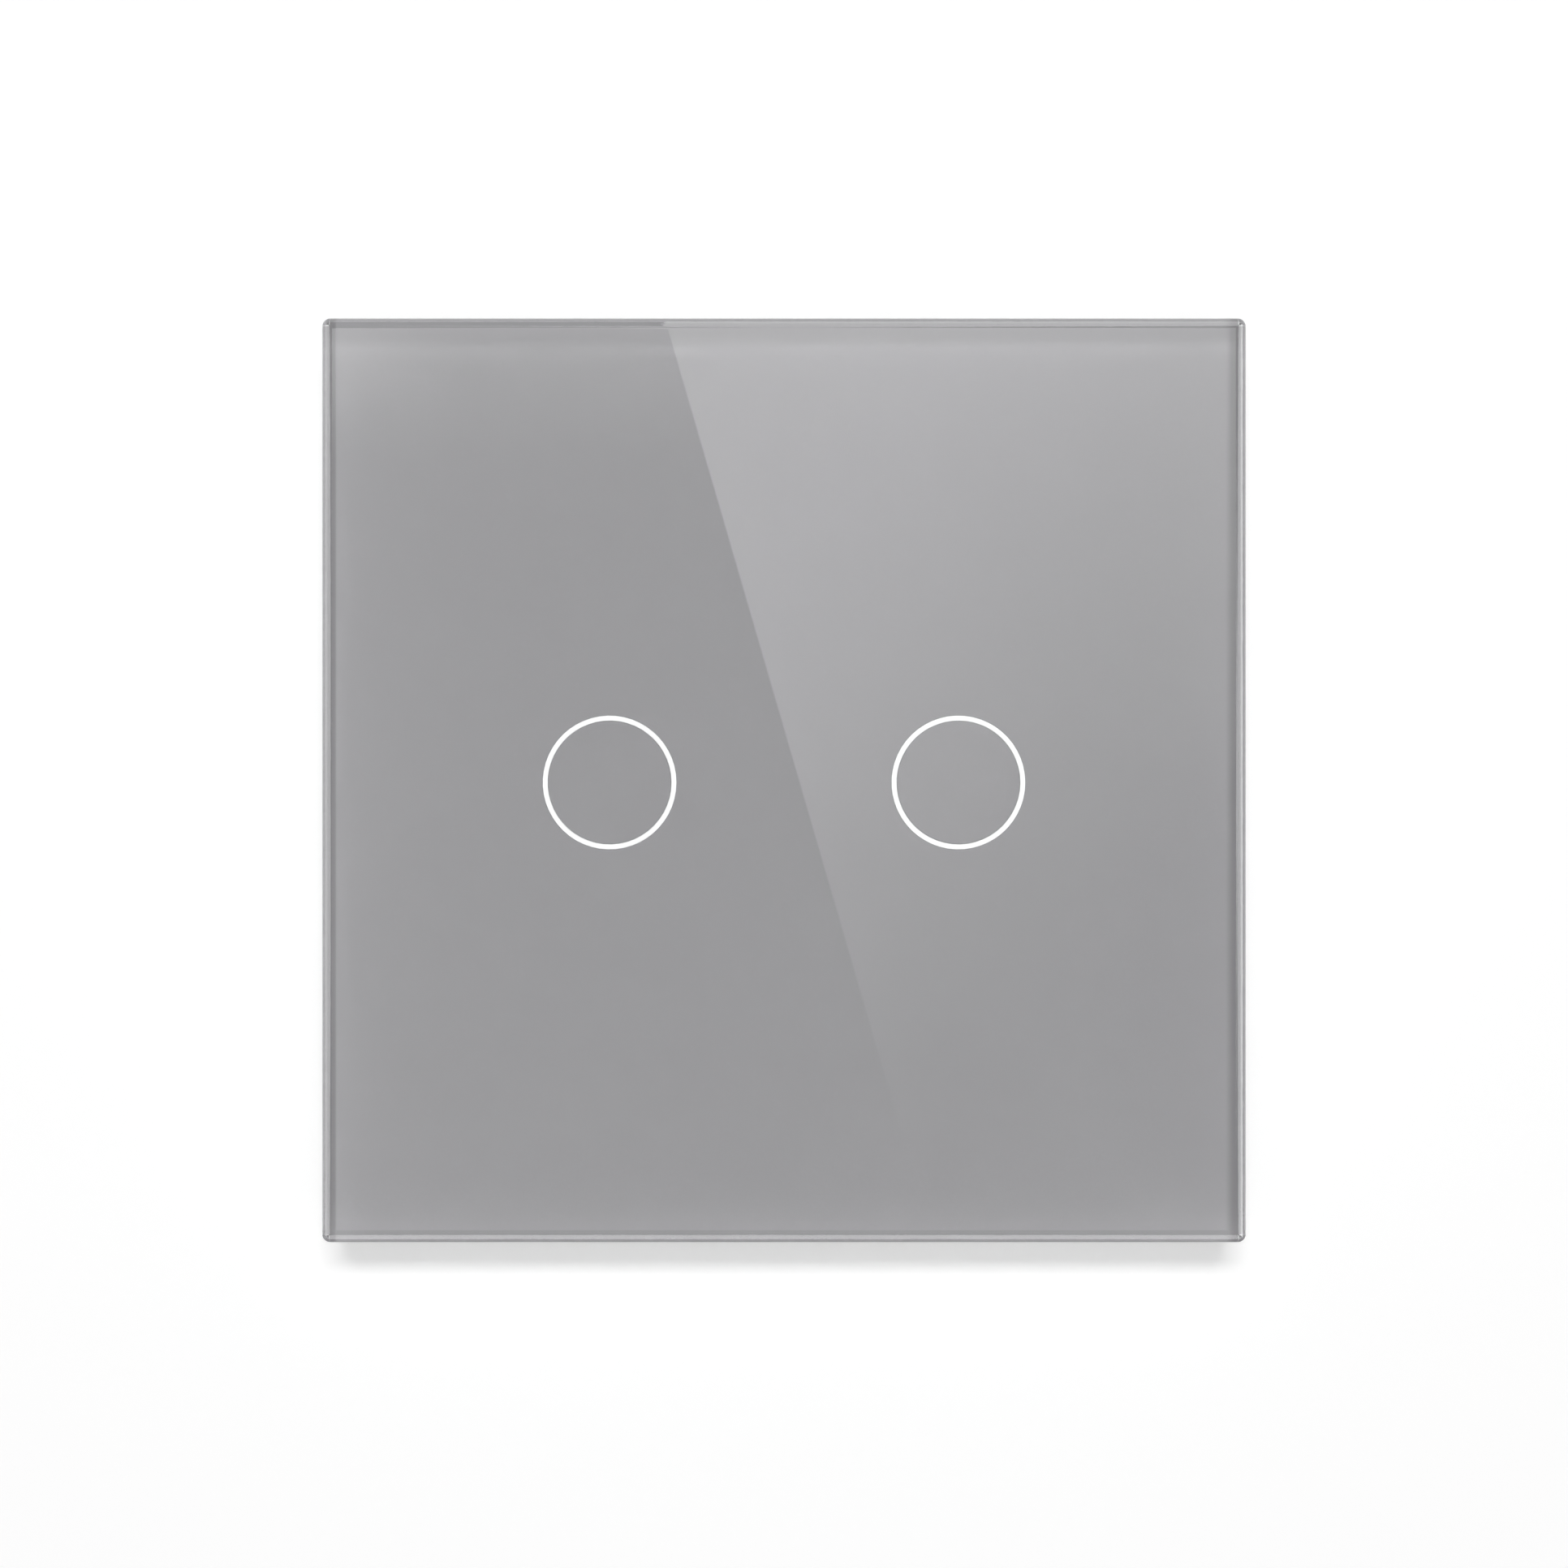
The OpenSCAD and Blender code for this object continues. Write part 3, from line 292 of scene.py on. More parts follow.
def foam(name, colour):
    """Closed-cell foam tape, its cells cut open."""
    sheet = new_sheet(name)
    cells = sheet.node("ShaderNodeTexVoronoi", None, {"Vector": sheet.place(), "Scale": 5200.0})
    shader = sheet.principled({
        "Base Color": sheet.blend(cells.clipped(), shade(colour, 0.7), shade(colour, 1.6)),
        "Roughness": 0.86 + 0.08 * (cells - 0.5),
        "Normal": sheet.bump(cells, 0.05 * MM, strength=0.8),
    })
    return sheet.surface(shader)


def milky_plastic(name, colour):
    """Diffusing light guide: bright, soft and slightly streaky."""
    sheet = new_sheet(name)
    streak = sheet.noise(300.0, detail=3.0, where=sheet.place((1.0, 0.25, 1.0)))
    shader = sheet.principled({
        "Base Color": sheet.blend(streak, shade(colour, 0.93), shade(colour, 1.05)),
        "Roughness": 0.34 + 0.1 * (streak - 0.5),
        "Transmission Weight": 0.12,
        "IOR": 1.49,
    })
    return sheet.surface(shader)


def circuit_board(name, colour):
    """Green solder mask with copper tracks showing through as lighter lines."""
    sheet = new_sheet(name)
    track_scale = 170.0
    track_edge = 0.72

    def tracks_along(direction):
        settings = {"bands_direction": direction, "wave_profile": "SIN"}
        inputs = {"Vector": sheet.place(), "Scale": track_scale}
        return sheet.node("ShaderNodeTexWave", settings, inputs, output="Fac") > track_edge

    upright_part = sheet.noise(160.0, detail=0.0).between(0.5, 0.52)
    tracks = upright_part * tracks_along("X") + (1 - upright_part) * tracks_along("Z")
    fine = sheet.noise(3800.0, detail=2.0)
    mask = sheet.blend(fine, shade(colour, 0.88), shade(colour, 1.1))
    shader = sheet.principled({
        "Base Color": sheet.blend(tracks * 0.75, mask, shade(colour, 2.1)),
        "Roughness": 0.3 + 0.1 * (fine - 0.5) + 0.06 * tracks,
        "Normal": sheet.bump(tracks, 0.03 * MM, strength=0.6),
        "Coat Weight": 0.25 + 0.1 * fine,
        "Coat Roughness": 0.2,
    })
    return sheet.surface(shader)


def banded_lacquer(name, colour, bands):
    """Lacquered resistor with plain colour bands round it."""
    sheet = new_sheet(name)
    low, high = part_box("fusible_resistor")
    band_width = 0.07
    along = (sheet.axis("Z") - low.z) / (high.z - low.z)
    fine = sheet.noise(3000.0, detail=2.0)
    tone = sheet.blend(fine, shade(colour, 0.92), shade(colour, 1.08))
    for start, band in bands:
        inside = (along > start) * (1 - (along > start + band_width))
        tone = sheet.blend(inside, tone, band)
    shader = sheet.principled({
        "Base Color": tone,
        "Roughness": 0.42 + 0.1 * (fine - 0.5),
        "Coat Weight": 0.2,
    })
    return sheet.surface(shader)


def striped_sleeve(name, colour, stripe):
    """Shrunk sleeve of the smoothing capacitor with its pale stripe."""
    sheet = new_sheet(name)
    low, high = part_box("smoothing_capacitor")
    middle = (low + high) / 2
    half_stripe = 1.1 * MM
    beside = sheet.axis("X") - middle.x
    outward = sheet.axis("Z") - middle.z
    inside = (outward > 0.0) * (1 - (beside * beside > half_stripe ** 2))
    fine = sheet.noise(2600.0, detail=2.0)
    dark = sheet.blend(fine, shade(colour, 0.85), shade(colour, 1.2))
    shader = sheet.principled({
        "Base Color": sheet.blend(inside, dark, stripe),
        "Roughness": 0.3 + 0.12 * (fine - 0.5),
        "Coat Weight": 0.3,
    })
    return sheet.surface(shader)


# Settings

class GlassSettings(PropertyGroup):
    edge_round: FloatProperty(
        name="Edge round", description="Radius of the polished front edge", default=1.0 * MM, unit="LENGTH")
    corner_round: FloatProperty(
        name="Corner round", description="Radius of the four corners", default=0.7 * MM, unit="LENGTH")
    back_arris: FloatProperty(
        name="Back arris", description="Width of the broken back edge", default=0.3 * MM, unit="LENGTH")
    contact: FloatProperty(
        name="Print contact", description="How far the print lies inside the glass", default=0.05 * MM,
        unit="LENGTH")
    tint: FloatVectorProperty(
        name="Tint", description="Colour of the glass", default=(0.975, 0.99, 0.985), subtype="COLOR")


class PrintSettings(PropertyGroup):
    grey: FloatVectorProperty(
        name="Print grey", description="Colour of the print behind the glass", subtype="COLOR",
        default=(0.2205, 0.2163, 0.2238))
    white: FloatVectorProperty(
        name="Ring white", description="Colour of the rings", default=(0.76, 0.76, 0.76), subtype="COLOR")
    glow: FloatProperty(name="Ring glow", description="How much the rings are lit from behind", default=0.02)


class ModuleSettings(PropertyGroup):
    frame_colour: FloatVectorProperty(
        name="Frame", description="Colour of the frame behind the glass", default=(0.05, 0.05, 0.053),
        subtype="COLOR")
    housing_colour: FloatVectorProperty(
        name="Housing", description="Colour of the rear housing", default=(0.72, 0.72, 0.7), subtype="COLOR")
    letter_height: FloatProperty(
        name="Letter height", description="Height of the terminal letters", default=1.5 * MM, unit="LENGTH")
    letter_relief: FloatProperty(
        name="Letter relief", description="How far the letters stand out", default=0.15 * MM, unit="LENGTH")


class StageSettings(PropertyGroup):
    lens: FloatProperty(name="Lens", description="Focal length in millimetres", default=100.0)
    distance: FloatProperty(
        name="Camera distance", description="From the glass to the camera", default=376.3 * MM, unit="LENGTH")
    key_power: FloatProperty(name="Key light", description="Power of the lamp above the front", default=8.4)
    rear_power: FloatProperty(name="Rear light", description="Power of the lamp above the back", default=6.0)
    ambient: FloatProperty(name="Room light", description="Brightness of the room", default=0.33)
    wall_shade: FloatProperty(name="Wall", description="Share of light the wall gives back", default=0.71)
    wall_lift: FloatProperty(name="Wall white", description="Own brightness of the wall", default=0.42)


class SwitchSettings(PropertyGroup):
    glass: PointerProperty(type=GlassSettings)
    print: PointerProperty(type=PrintSettings)
    module: PointerProperty(type=ModuleSettings)
    stage: PointerProperty(type=StageSettings)


# Helpers for pieces

def give(node, material):
    """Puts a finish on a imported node."""
    for slot in NODES[node].material_slots:
        slot.material = material


def round_edges(node, width):
    """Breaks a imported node's sharp edges by a small width, in millimetres."""
    obj = NODES[node]
    flat_angle = math.radians(0.5)
    sharp_angle = math.radians(40)
    weld = obj.modifiers.new("join", "WELD")
    weld.merge_threshold = 0.001 * MM
    flat = obj.modifiers.new("flats", "DECIMATE")
    flat.decimate_type = "DISSOLVE"
    flat.angle_limit = flat_angle
    bevel = obj.modifiers.new("edges", "BEVEL")
    bevel.width = width * MM
    bevel.segments = 2
    bevel.limit_method = "ANGLE"
    bevel.angle_limit = sharp_angle
    bevel.harden_normals = False


def settle_order(work):
    """Puts points, edges and faces in an order that follows from where they lie."""
    slant = Vector((1.0, 1.37, 1.71))
    work.verts.sort(key=lambda vert: vert.co.dot(slant))
    work.edges.sort(key=lambda edge: (edge.verts[0].co + edge.verts[1].co).dot(slant))
    work.faces.sort(key=lambda face: face.calc_center_median().dot(slant))


def new_piece(name, mesh_maker, material, body):
    """Makes an object from a bmesh and lets it ride on a body."""
    mesh = bpy.data.meshes.new(name)
    work = bmesh.new()
    mesh_maker(work)
    bmesh.ops.recalc_face_normals(work, faces=work.faces)
    settle_order(work)
    work.to_mesh(mesh)
    work.free()
    mesh.materials.append(material)
    obj = bpy.data.objects.new(name, mesh)
    bpy.context.scene.collection.objects.link(obj)
    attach(obj, body)
    return obj


def rounded_square(work, half, corner, level, steps=8):
    """The edges of a square outline with round corners, at one depth."""
    points = []
    for quarter in range(4):
        middle = Vector((half - corner, 0, half - corner))
        middle.rotate(Matrix.Rotation(-quarter * math.pi / 2, 3, "Y"))
        for step in range(steps + 1):
            turn = (quarter + step / steps) * math.pi / 2
            reach = Vector((math.cos(turn), 0, math.sin(turn))) * corner
            points.append(work.verts.new(middle + reach + Vector((0, level, 0))))
    return [work.edges.new(pair) for pair in zip(points, points[1:] + points[:1])]


def edges_of(geometry):
    return [g for g in geometry if isinstance(g, bmesh.types.BMEdge)]


def wind(work, radius, wire, low, high, turns):
    """Winds round wire about the upright axis and gives the edges of its two ends."""
    steps_a_turn = 40
    steps = steps_a_turn * turns
    ring = bmesh.ops.create_circle(work, segments=12, radius=wire / 2)["verts"]
    first = list(work.edges)
    bmesh.ops.rotate(work, verts=ring, cent=(0, 0, 0), matrix=Matrix.Rotation(math.pi / 2, 3, "X"))
    bmesh.ops.translate(work, verts=ring, vec=(radius, 0, low))
    last = bmesh.ops.spin(
        work, geom=first, cent=(0, 0, 0), axis=(0, 0, 1), dvec=(0, 0, (high - low) / steps),
        angle=2 * math.pi * turns, steps=steps)["geom_last"]
    return first, edges_of(last)


def turn_on_lathe(work, profile):
    """Turns a profile of radius and height about the upright axis."""
    corners = [work.verts.new((radius, 0, height)) for radius, height in profile]
    lines = [work.edges.new(pair) for pair in zip(corners, corners[1:])]
    bmesh.ops.spin(
        work, geom=corners + lines, cent=(0, 0, 0), axis=(0, 0, 1), angle=2 * math.pi, steps=48,
        use_merge=True)
    bmesh.ops.remove_doubles(work, verts=work.verts, dist=SAME_POINT)


def face_out(work, middle):
    """Lays what stands upright along the depth, about a point of the face."""
    stand = Matrix.Translation((middle.x, 0, middle.z)) @ Matrix.Rotation(math.pi / 2, 4, "X")
    bmesh.ops.transform(work, matrix=stand, verts=work.verts)


# Pieces

class SWITCH_OT_glass_panel(Operator):
    """Grinds and polishes the glass panel"""
    bl_idname = "touch_switch.glass_panel"
    bl_label = "Glass panel"

    def execute(self, context):
        choice = context.scene.touch_switch.glass
        back = GLASS_HIGH.y + choice.contact
        half = GLASS_HIGH.x
        least_corner = 0.05 * MM
        edge_steps = 12

        def make(work):
            steps = [(choice.back_arris, back), (0, back - choice.back_arris)]
            for step in range(edge_steps + 1):
                turn = math.pi / 2 * step / edge_steps
                inset = choice.edge_round * (1 - math.cos(turn))
                steps.append((inset, GLASS_FRONT + choice.edge_round * (1 - math.sin(turn))))
            outlines = [
                rounded_square(work, half - inset, max(choice.corner_round - inset, least_corner), level)
                for inset, level in steps
            ]
            for lower, upper in zip(outlines, outlines[1:]):
                bmesh.ops.bridge_loops(work, edges=lower + upper)
            for outline in (outlines[0], outlines[-1]):
                bmesh.ops.edgeloop_fill(work, edges=outline)
            for face in work.faces:
                face.smooth = True

        glass = new_piece(
            "glass_front", make, polished_glass("polished_glass", choice.tint), "panel")
        glass.modifiers.new("true_flats", "WEIGHTED_NORMAL").weight = 100
        glass.visible_shadow = False
        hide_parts("glass_panel")
        return {"FINISHED"}


class SWITCH_OT_print(Operator):
    """Inks the film and the rings and lays the tape"""
    bl_idname = "touch_switch.print"
    bl_label = "Print and tape"

    def execute(self, context):
        choice = context.scene.touch_switch.print
        give("backing_film", printed_grey("grey_print", choice.grey))
        white = printed_white("ring_white", choice.white, choice.glow)
        for side in ("left", "right"):
            give(f"ring_window_{side}", white)
        give("adhesive_tape", foam("foam_tape", (0.03, 0.03, 0.03)))
        return {"FINISHED"}


class SWITCH_OT_mouldings(Operator):
    """Finishes the frame, cover, light guides, terminal poles and rear housing"""
    bl_idname = "touch_switch.mouldings"
    bl_label = "Plastic mouldings"

    def execute(self, context):
        choice = context.scene.touch_switch.module
        give("panel_frame", moulded_plastic("frame_plastic", choice.frame_colour))
        give("front_cover", moulded_plastic("cover_plastic", (0.02, 0.02, 0.022), 0.56, grain_size=0.16))
        matte = moulded_plastic(
            "housing_white", choice.housing_colour, 0.7, grain_size=0.14, depth=0.003, gloss=0.0)
        give("rear_housing", matte)
        milky = milky_plastic("milky_plastic", (0.85, 0.85, 0.82))
        pole = moulded_plastic("terminal_plastic", (0.5, 0.51, 0.51), 0.46, grain_size=0.1)
        for side in ("left", "right"):
            give(f"light_guide_{side}", milky)
        for place in ("left", "middle", "right"):
            give(f"terminal_pole_{place}", pole)
            round_edges(f"terminal_pole_{place}", 0.15)
        round_edges("panel_frame", 0.2)
        round_edges("front_cover", 0.2)
        round_edges("rear_housing", 0.25)
        return {"FINISHED"}


class SWITCH_OT_touch_springs(Operator):
    """Winds the touch springs from round wire"""
    bl_idname = "touch_switch.touch_springs"
    bl_label = "Touch springs"

    wire: FloatProperty(name="Wire", description="Diameter of the wire", default=0.5 * MM, unit="LENGTH")
    bend: FloatProperty(name="Bend", description="Bend radius at the ends", default=0.6 * MM, unit="LENGTH")
    turns: IntProperty(name="Turns", description="Turns of the spring", default=3)

    def execute(self, context):
        tin = plated_metal("spring_wire", (0.75, 0.7, 0.55), 0.26, spangle=1600.0)
        for side in ("left", "right"):
            node = f"touch_spring_{side}"
            spring = new_piece(f"spring_wire_{side}", self.winder(node), tin, "switch_body")
            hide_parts(node)
        return {"FINISHED"}

    def winder(self, node):
        low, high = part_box(node)
        coil_r = (high.x - low.x - self.wire) / 2
        rise = self.wire + self.bend
        floor = -high.y + rise
        top = -low.y - rise

        def make(work):
            first, last = wind(work, coil_r, self.wire, floor, top, self.turns)
            self.leg(work, last, (coil_r, 0, top + self.bend), self.wire)
            self.leg(work, first, (coil_r, 0, floor - self.bend), -self.wire)
            for face in work.faces:
                face.smooth = len(face.verts) == 4
            face_out(work, (low + high) / 2)

        return make

    @staticmethod
    def leg(work, ring, cent, length):
        """Bends the wire's end upright, draws it out straight and closes it."""
        bent = bmesh.ops.spin(work, geom=ring, cent=cent, axis=(1, 0, 0), angle=math.pi / 2, steps=6)
        drawn = bmesh.ops.extrude_edge_only(work, edges=edges_of(bent["geom_last"]))["geom"]
        tip = [g for g in drawn if isinstance(g, bmesh.types.BMVert)]
        bmesh.ops.translate(work, verts=tip, vec=(0, 0, length))
        bmesh.ops.edgeloop_fill(work, edges=[e for e in edges_of(drawn) if e.is_boundary])


class SWITCH_OT_boards(Operator):
    """Finishes the two boards, the small lamps, the chip and the connector"""
    bl_idname = "touch_switch.boards"
    bl_label = "Boards"

    def execute(self, context):
        board = circuit_board("green_board", (0.03, 0.16, 0.07))
        give("touch_board", board)
        give("power_board", board)
        give("indicator_leds", glossy_plastic("led_body", (0.9, 0.88, 0.7), 0.3))
        give("touch_controller", moulded_plastic("chip_black", (0.02, 0.02, 0.02), 0.55, grain_size=0.08))
        connector = moulded_plastic("connector_black", (0.015, 0.015, 0.015), 0.45, grain_size=0.1)
        give("header_body", connector)
        give("header_socket", connector)
        give("header_pins", plated_metal("gold_pin", (0.85, 0.62, 0.25), 0.24))
        return {"FINISHED"}


class SWITCH_OT_power_parts(Operator):
    """Finishes the relays and the other parts of the power board"""
    bl_idname = "touch_switch.power_parts"
    bl_label = "Power parts"

    def execute(self, context):
        relay = glossy_plastic("relay_blue", (0.03, 0.12, 0.36), 0.3)
        for side in ("left", "right"):
            give(f"relay_{side}", relay)
            round_edges(f"relay_{side}", 0.25)
        give("film_capacitor", glossy_plastic("capacitor_yellow", (0.75, 0.5, 0.05), 0.32))
        give("varistor", glossy_plastic("varistor_blue", (0.04, 0.12, 0.45), 0.25))
        bridge = moulded_plastic("bridge_black", (0.02, 0.02, 0.02), 0.5, grain_size=0.1)
        give("bridge_rectifier", bridge)
        sleeve = striped_sleeve("capacitor_sleeve", (0.02, 0.03, 0.06), (0.5, 0.5, 0.5, 1.0))
        give("smoothing_capacitor", sleeve)
        bands = [
            (0.28, (0.1, 0.03, 0.01, 1.0)), (0.4, (0.01, 0.01, 0.01, 1.0)),
            (0.52, (0.02, 0.02, 0.02, 1.0)), (0.68, (0.55, 0.38, 0.08, 1.0)),
        ]
        give("fusible_resistor", banded_lacquer("resistor_body", (0.25, 0.36, 0.45), bands))
        return {"FINISHED"}


class SWITCH_OT_choke(Operator):
    """Winds the choke's wire on its ferrite drum"""
    bl_idname = "touch_switch.choke"
    bl_label = "Choke"

    flange: FloatProperty(name="Flange", description="Thickness of a flange", default=1.0 * MM, unit="LENGTH")
    sink: FloatProperty(
        name="Sink", description="From the flange's rim to the wire", default=0.55 * MM, unit="LENGTH")
    wire: FloatProperty(name="Wire", description="Diameter of the wire", default=0.46 * MM, unit="LENGTH")

    def execute(self, context):
        low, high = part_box("choke")
        rim = (high.x - low.x) / 2
        floor, top = -high.y, -low.y
        edge = 0.12 * MM
        waist = rim - self.sink - self.wire / 2
        start, end = floor + self.flange, top - self.flange

        def drum(work):
            inner = rim - edge
            turn_on_lathe(work, (
                (0, floor), (inner, floor), (rim, floor + edge), (rim, start - edge), (inner, start),
                (waist, start), (waist, end), (inner, end), (rim, end + edge), (rim, top - edge),
                (inner, top), (0, top)))
            face_out(work, (low + high) / 2)

        def winding(work):
            half = self.wire / 2
            turns = int((end - start) / self.wire)
            ends = wind(work, waist, self.wire, start + half, end - half, turns)
            for ring in ends:
                bmesh.ops.edgeloop_fill(work, edges=ring)
            for face in work.faces:
                face.smooth = len(face.verts) == 4
            face_out(work, (low + high) / 2)

        ferrite = moulded_plastic("ferrite", (0.035, 0.034, 0.036), 0.42, grain_size=0.1)
        lacquer = plated_metal("lacquered_wire", (0.55, 0.22, 0.09), 0.26)
        core = new_piece("choke_drum", drum, ferrite, "switch_body")
        new_piece("choke_winding", winding, lacquer, "switch_body")
        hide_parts("choke")
        return {"FINISHED"}


class SWITCH_OT_metal(Operator):
    """Finishes the yoke, the screws, the clamp cages and the contacts"""
    bl_idname = "touch_switch.metal"
    bl_label = "Metal parts"

    def execute(self, context):
        zinc = plated_metal(
            "zinc_sheet", (0.62, 0.64, 0.66), 0.36, stretch=(1.0, 1.0, 0.06), spangle=420.0)
        give("yoke", zinc)
        round_edges("yoke", 0.18)
        screw = plated_metal("screw_steel", (0.62, 0.62, 0.6), 0.28)
        for node in ("housing_screws", "touch_board_screws", "power_board_screws"):
            give(node, screw)
        cage = plated_metal("clamp_steel", (0.68, 0.62, 0.42), 0.3)
        for place in ("left", "middle", "right"):
            give(f"terminal_screw_{place}", screw)
            round_edges(f"terminal_screw_{place}", 0.15)
            give(f"clamp_cage_{place}", cage)
        give("terminal_contacts", plated_metal("contact_brass", (0.78, 0.58, 0.25), 0.3))
        return {"FINISHED"}


class SWITCH_OT_terminal_letters(Operator):
    """Raises a letter beside each terminal screw"""
    bl_idname = "touch_switch.terminal_letters"
    bl_label = "Terminal letters"

    def execute(self, context):
        choice = context.scene.touch_switch.module
        ink = moulded_plastic("letter_plastic", (0.32, 0.33, 0.33), 0.4, grain_size=0.1)
        face_back = Matrix(((-1, 0, 0, 0), (0, 0, 1, 0), (0, 1, 0, 0), (0, 0, 0, 1)))
        for place, letters in (("left", "L1"), ("middle", "L"), ("right", "L2")):
            low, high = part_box(f"terminal_pole_{place}")
            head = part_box(f"terminal_screw_{place}")[1]
            middle = Vector(((low.x + high.x) / 2, high.y, (head.z + high.z) / 2))
            flat = self.set_type(context, letters, choice)

            def raise_letters(work):
                work.from_mesh(flat)
                bmesh.ops.transform(work, matrix=Matrix.Translation(middle) @ face_back, verts=work.verts)
                bmesh.ops.remove_doubles(work, verts=work.verts, dist=SAME_POINT)

            new_piece(f"terminal_letter_{place}", raise_letters, ink, "switch_body")
        return {"FINISHED"}

    @staticmethod
    def set_type(context, letters, choice):
        """The mesh of a word, standing on both sides of its plane."""
        curve = bpy.data.curves.new("letters", "FONT")
        curve.body = letters
        size_for_height = 1.3
        curve.size = choice.letter_height * size_for_height
        curve.extrude = choice.letter_relief
        curve.align_x = "CENTER"
        curve.align_y = "CENTER"
        shaped = bpy.data.objects.new("letters", curve)
        context.scene.collection.objects.link(shaped)
        mesh = bpy.data.meshes.new_from_object(shaped.evaluated_get(context.evaluated_depsgraph_get()))
        bpy.data.objects.remove(shaped)
        return mesh


# Stage

def seen_or_mirrored(sheet):
    """1 for what the camera sees, straight, mirrored or through glass, and 0 for plain light."""
    camera = sheet.node("ShaderNodeLightPath", output="Is Camera Ray")
    mirror = sheet.node("ShaderNodeLightPath", output="Is Glossy Ray")
    through = sheet.node("ShaderNodeLightPath", output="Is Transmission Ray")
    return (camera + mirror + through).clipped()


def wall_paint(choice):
    """White wall that keeps shadows, open when it is seen from behind."""
    sheet = new_sheet("wall_paint")
    paint = sheet.node("ShaderNodeBsdfDiffuse", None, {"Color": shade((choice.wall_shade,) * 3, 1.0)})
    lift = sheet.blend(seen_or_mirrored(sheet), BLACK, WHITE)
    own = sheet.node("ShaderNodeEmission", None, {"Color": lift, "Strength": choice.wall_lift})
    front = sheet.node("ShaderNodeAddShader", None, {0: paint, 1: own})
    behind = sheet.node("ShaderNodeNewGeometry", output="Backfacing")
    clear = sheet.node("ShaderNodeBsdfTransparent")
    return sheet.surface(sheet.node("ShaderNodeMixShader", None, {0: behind, 1: front, 2: clear}))


def plain_card(name, strength):
    sheet = new_sheet(name)
    return sheet.surface(sheet.node("ShaderNodeEmission", None, {"Strength": strength}))


def window_card(spread, middle):
    """A tall window's reflection: a slanting edge, brighter towards the top.

    Places are millimetres on the panel from where the camera looks, strengths are what the glass gives back.
    """
    sheet = new_sheet("window_card")
    most = 0.2
    head_on = 0.0426
    room_glow, pane_glow = 0.017, 0.109
    side_glow, top_glow, corner_glow, brim_glow = 0.002, 0.03, 0.052, 0.022
    edge_start, edge_lean, edge_blur = 1.4, 0.2905, 0.12
    pane_lean = 0.8
    across = (sheet.axis("X") - middle.x) * (1 / (spread * MM))
    up = (sheet.axis("Z") - middle.z) * (1 / (spread * MM))
    past = across - (edge_start - edge_lean * up)
    pane = past.between(-edge_blur, edge_blur)
    right = pane_glow * (up - pane_lean * past).between(-36.0, 28.5)
    side = 1 - across.between(-39.0, -26.0)
    top = up.between(27.0, 41.0)
    brim = up.between(37.9, 39.2)
    left = side_glow * side + top_glow * top + corner_glow * side * top + brim_glow * (1 - side) * brim
    low_corner = across.between(24.0, 38.0) * (1 - up.between(-8.0, 12.0))
    foot = 1 - up.between(-44.0, -28.0)
    glow = room_glow * (1 - low_corner.at_least(foot)) + pane * right + (1 - pane) * left
    light = sheet.blend(glow * (1 / most), BLACK, WHITE)
    return sheet.surface(sheet.node("ShaderNodeEmission", None, {"Color": light, "Strength": most / head_on}))


def stage_card(name, material, matrix):
    """A unit square laid out by a matrix, which the glass mirrors and the camera doesn't see."""
    mesh = bpy.data.meshes.new(name)
    work = bmesh.new()
    bmesh.ops.create_grid(work, x_segments=1, y_segments=1, size=0.5, matrix=matrix)
    work.to_mesh(mesh)
    work.free()
    mesh.materials.append(material)
    obj = bpy.data.objects.new(name, mesh)
    obj.visible_camera = False
    obj.visible_diffuse = False
    obj.visible_transmission = False
    obj.visible_shadow = False
    bpy.context.scene.collection.objects.link(obj)


def laid_out(middle, along, up):
    """The matrix of a unit square with this middle and these two sides."""
    matrix = Matrix.Identity(4)
    matrix.col[0].xyz = along
    matrix.col[1].xyz = up
    matrix.col[2].xyz = along.cross(up).normalized()
    matrix.col[3].xyz = middle
    return matrix


def stage_sheet(name, low, high, material):
    """An upright sheet facing the panel, between two corners."""
    low, high = Vector(low), Vector(high)
    along = Vector((high.x - low.x, 0, 0))
    up = Vector((0, 0, high.z - low.z))
    stage_card(name, material, laid_out((low + high) / 2, along, up))


def hoop_sheet(name, outward, span, start, end, material, away=0.7):
    """A sheet beside the panel, between two angles from straight ahead, seen from the panel's edge."""
    edge = outward * GLASS_HIGH.x + Vector((0, GLASS_FRONT, 0))
    ahead = Vector((0, -1, 0))
    ends = [edge + away * (ahead * math.cos(turn) + outward * math.sin(turn))
            for turn in (math.radians(start), math.radians(end))]
    along = outward.cross(ahead)
    middle = (ends[0] + ends[1]) / 2 + along * (span[0] + span[1]) / 2
    stage_card(name, material, laid_out(middle, along * (span[1] - span[0]), ends[1] - ends[0]))


def lamp(name, place, aim, width, height, power):
    data = bpy.data.lights.new(name, "AREA")
    data.shape = "RECTANGLE"
    data.size = width
    data.size_y = height
    data.energy = power
    obj = bpy.data.objects.new(name, data)
    obj.location = place
    obj.rotation_euler = (Vector(aim) - Vector(place)).to_track_quat("-Z", "Y").to_euler()
    obj.visible_glossy = False
    bpy.context.scene.collection.objects.link(obj)


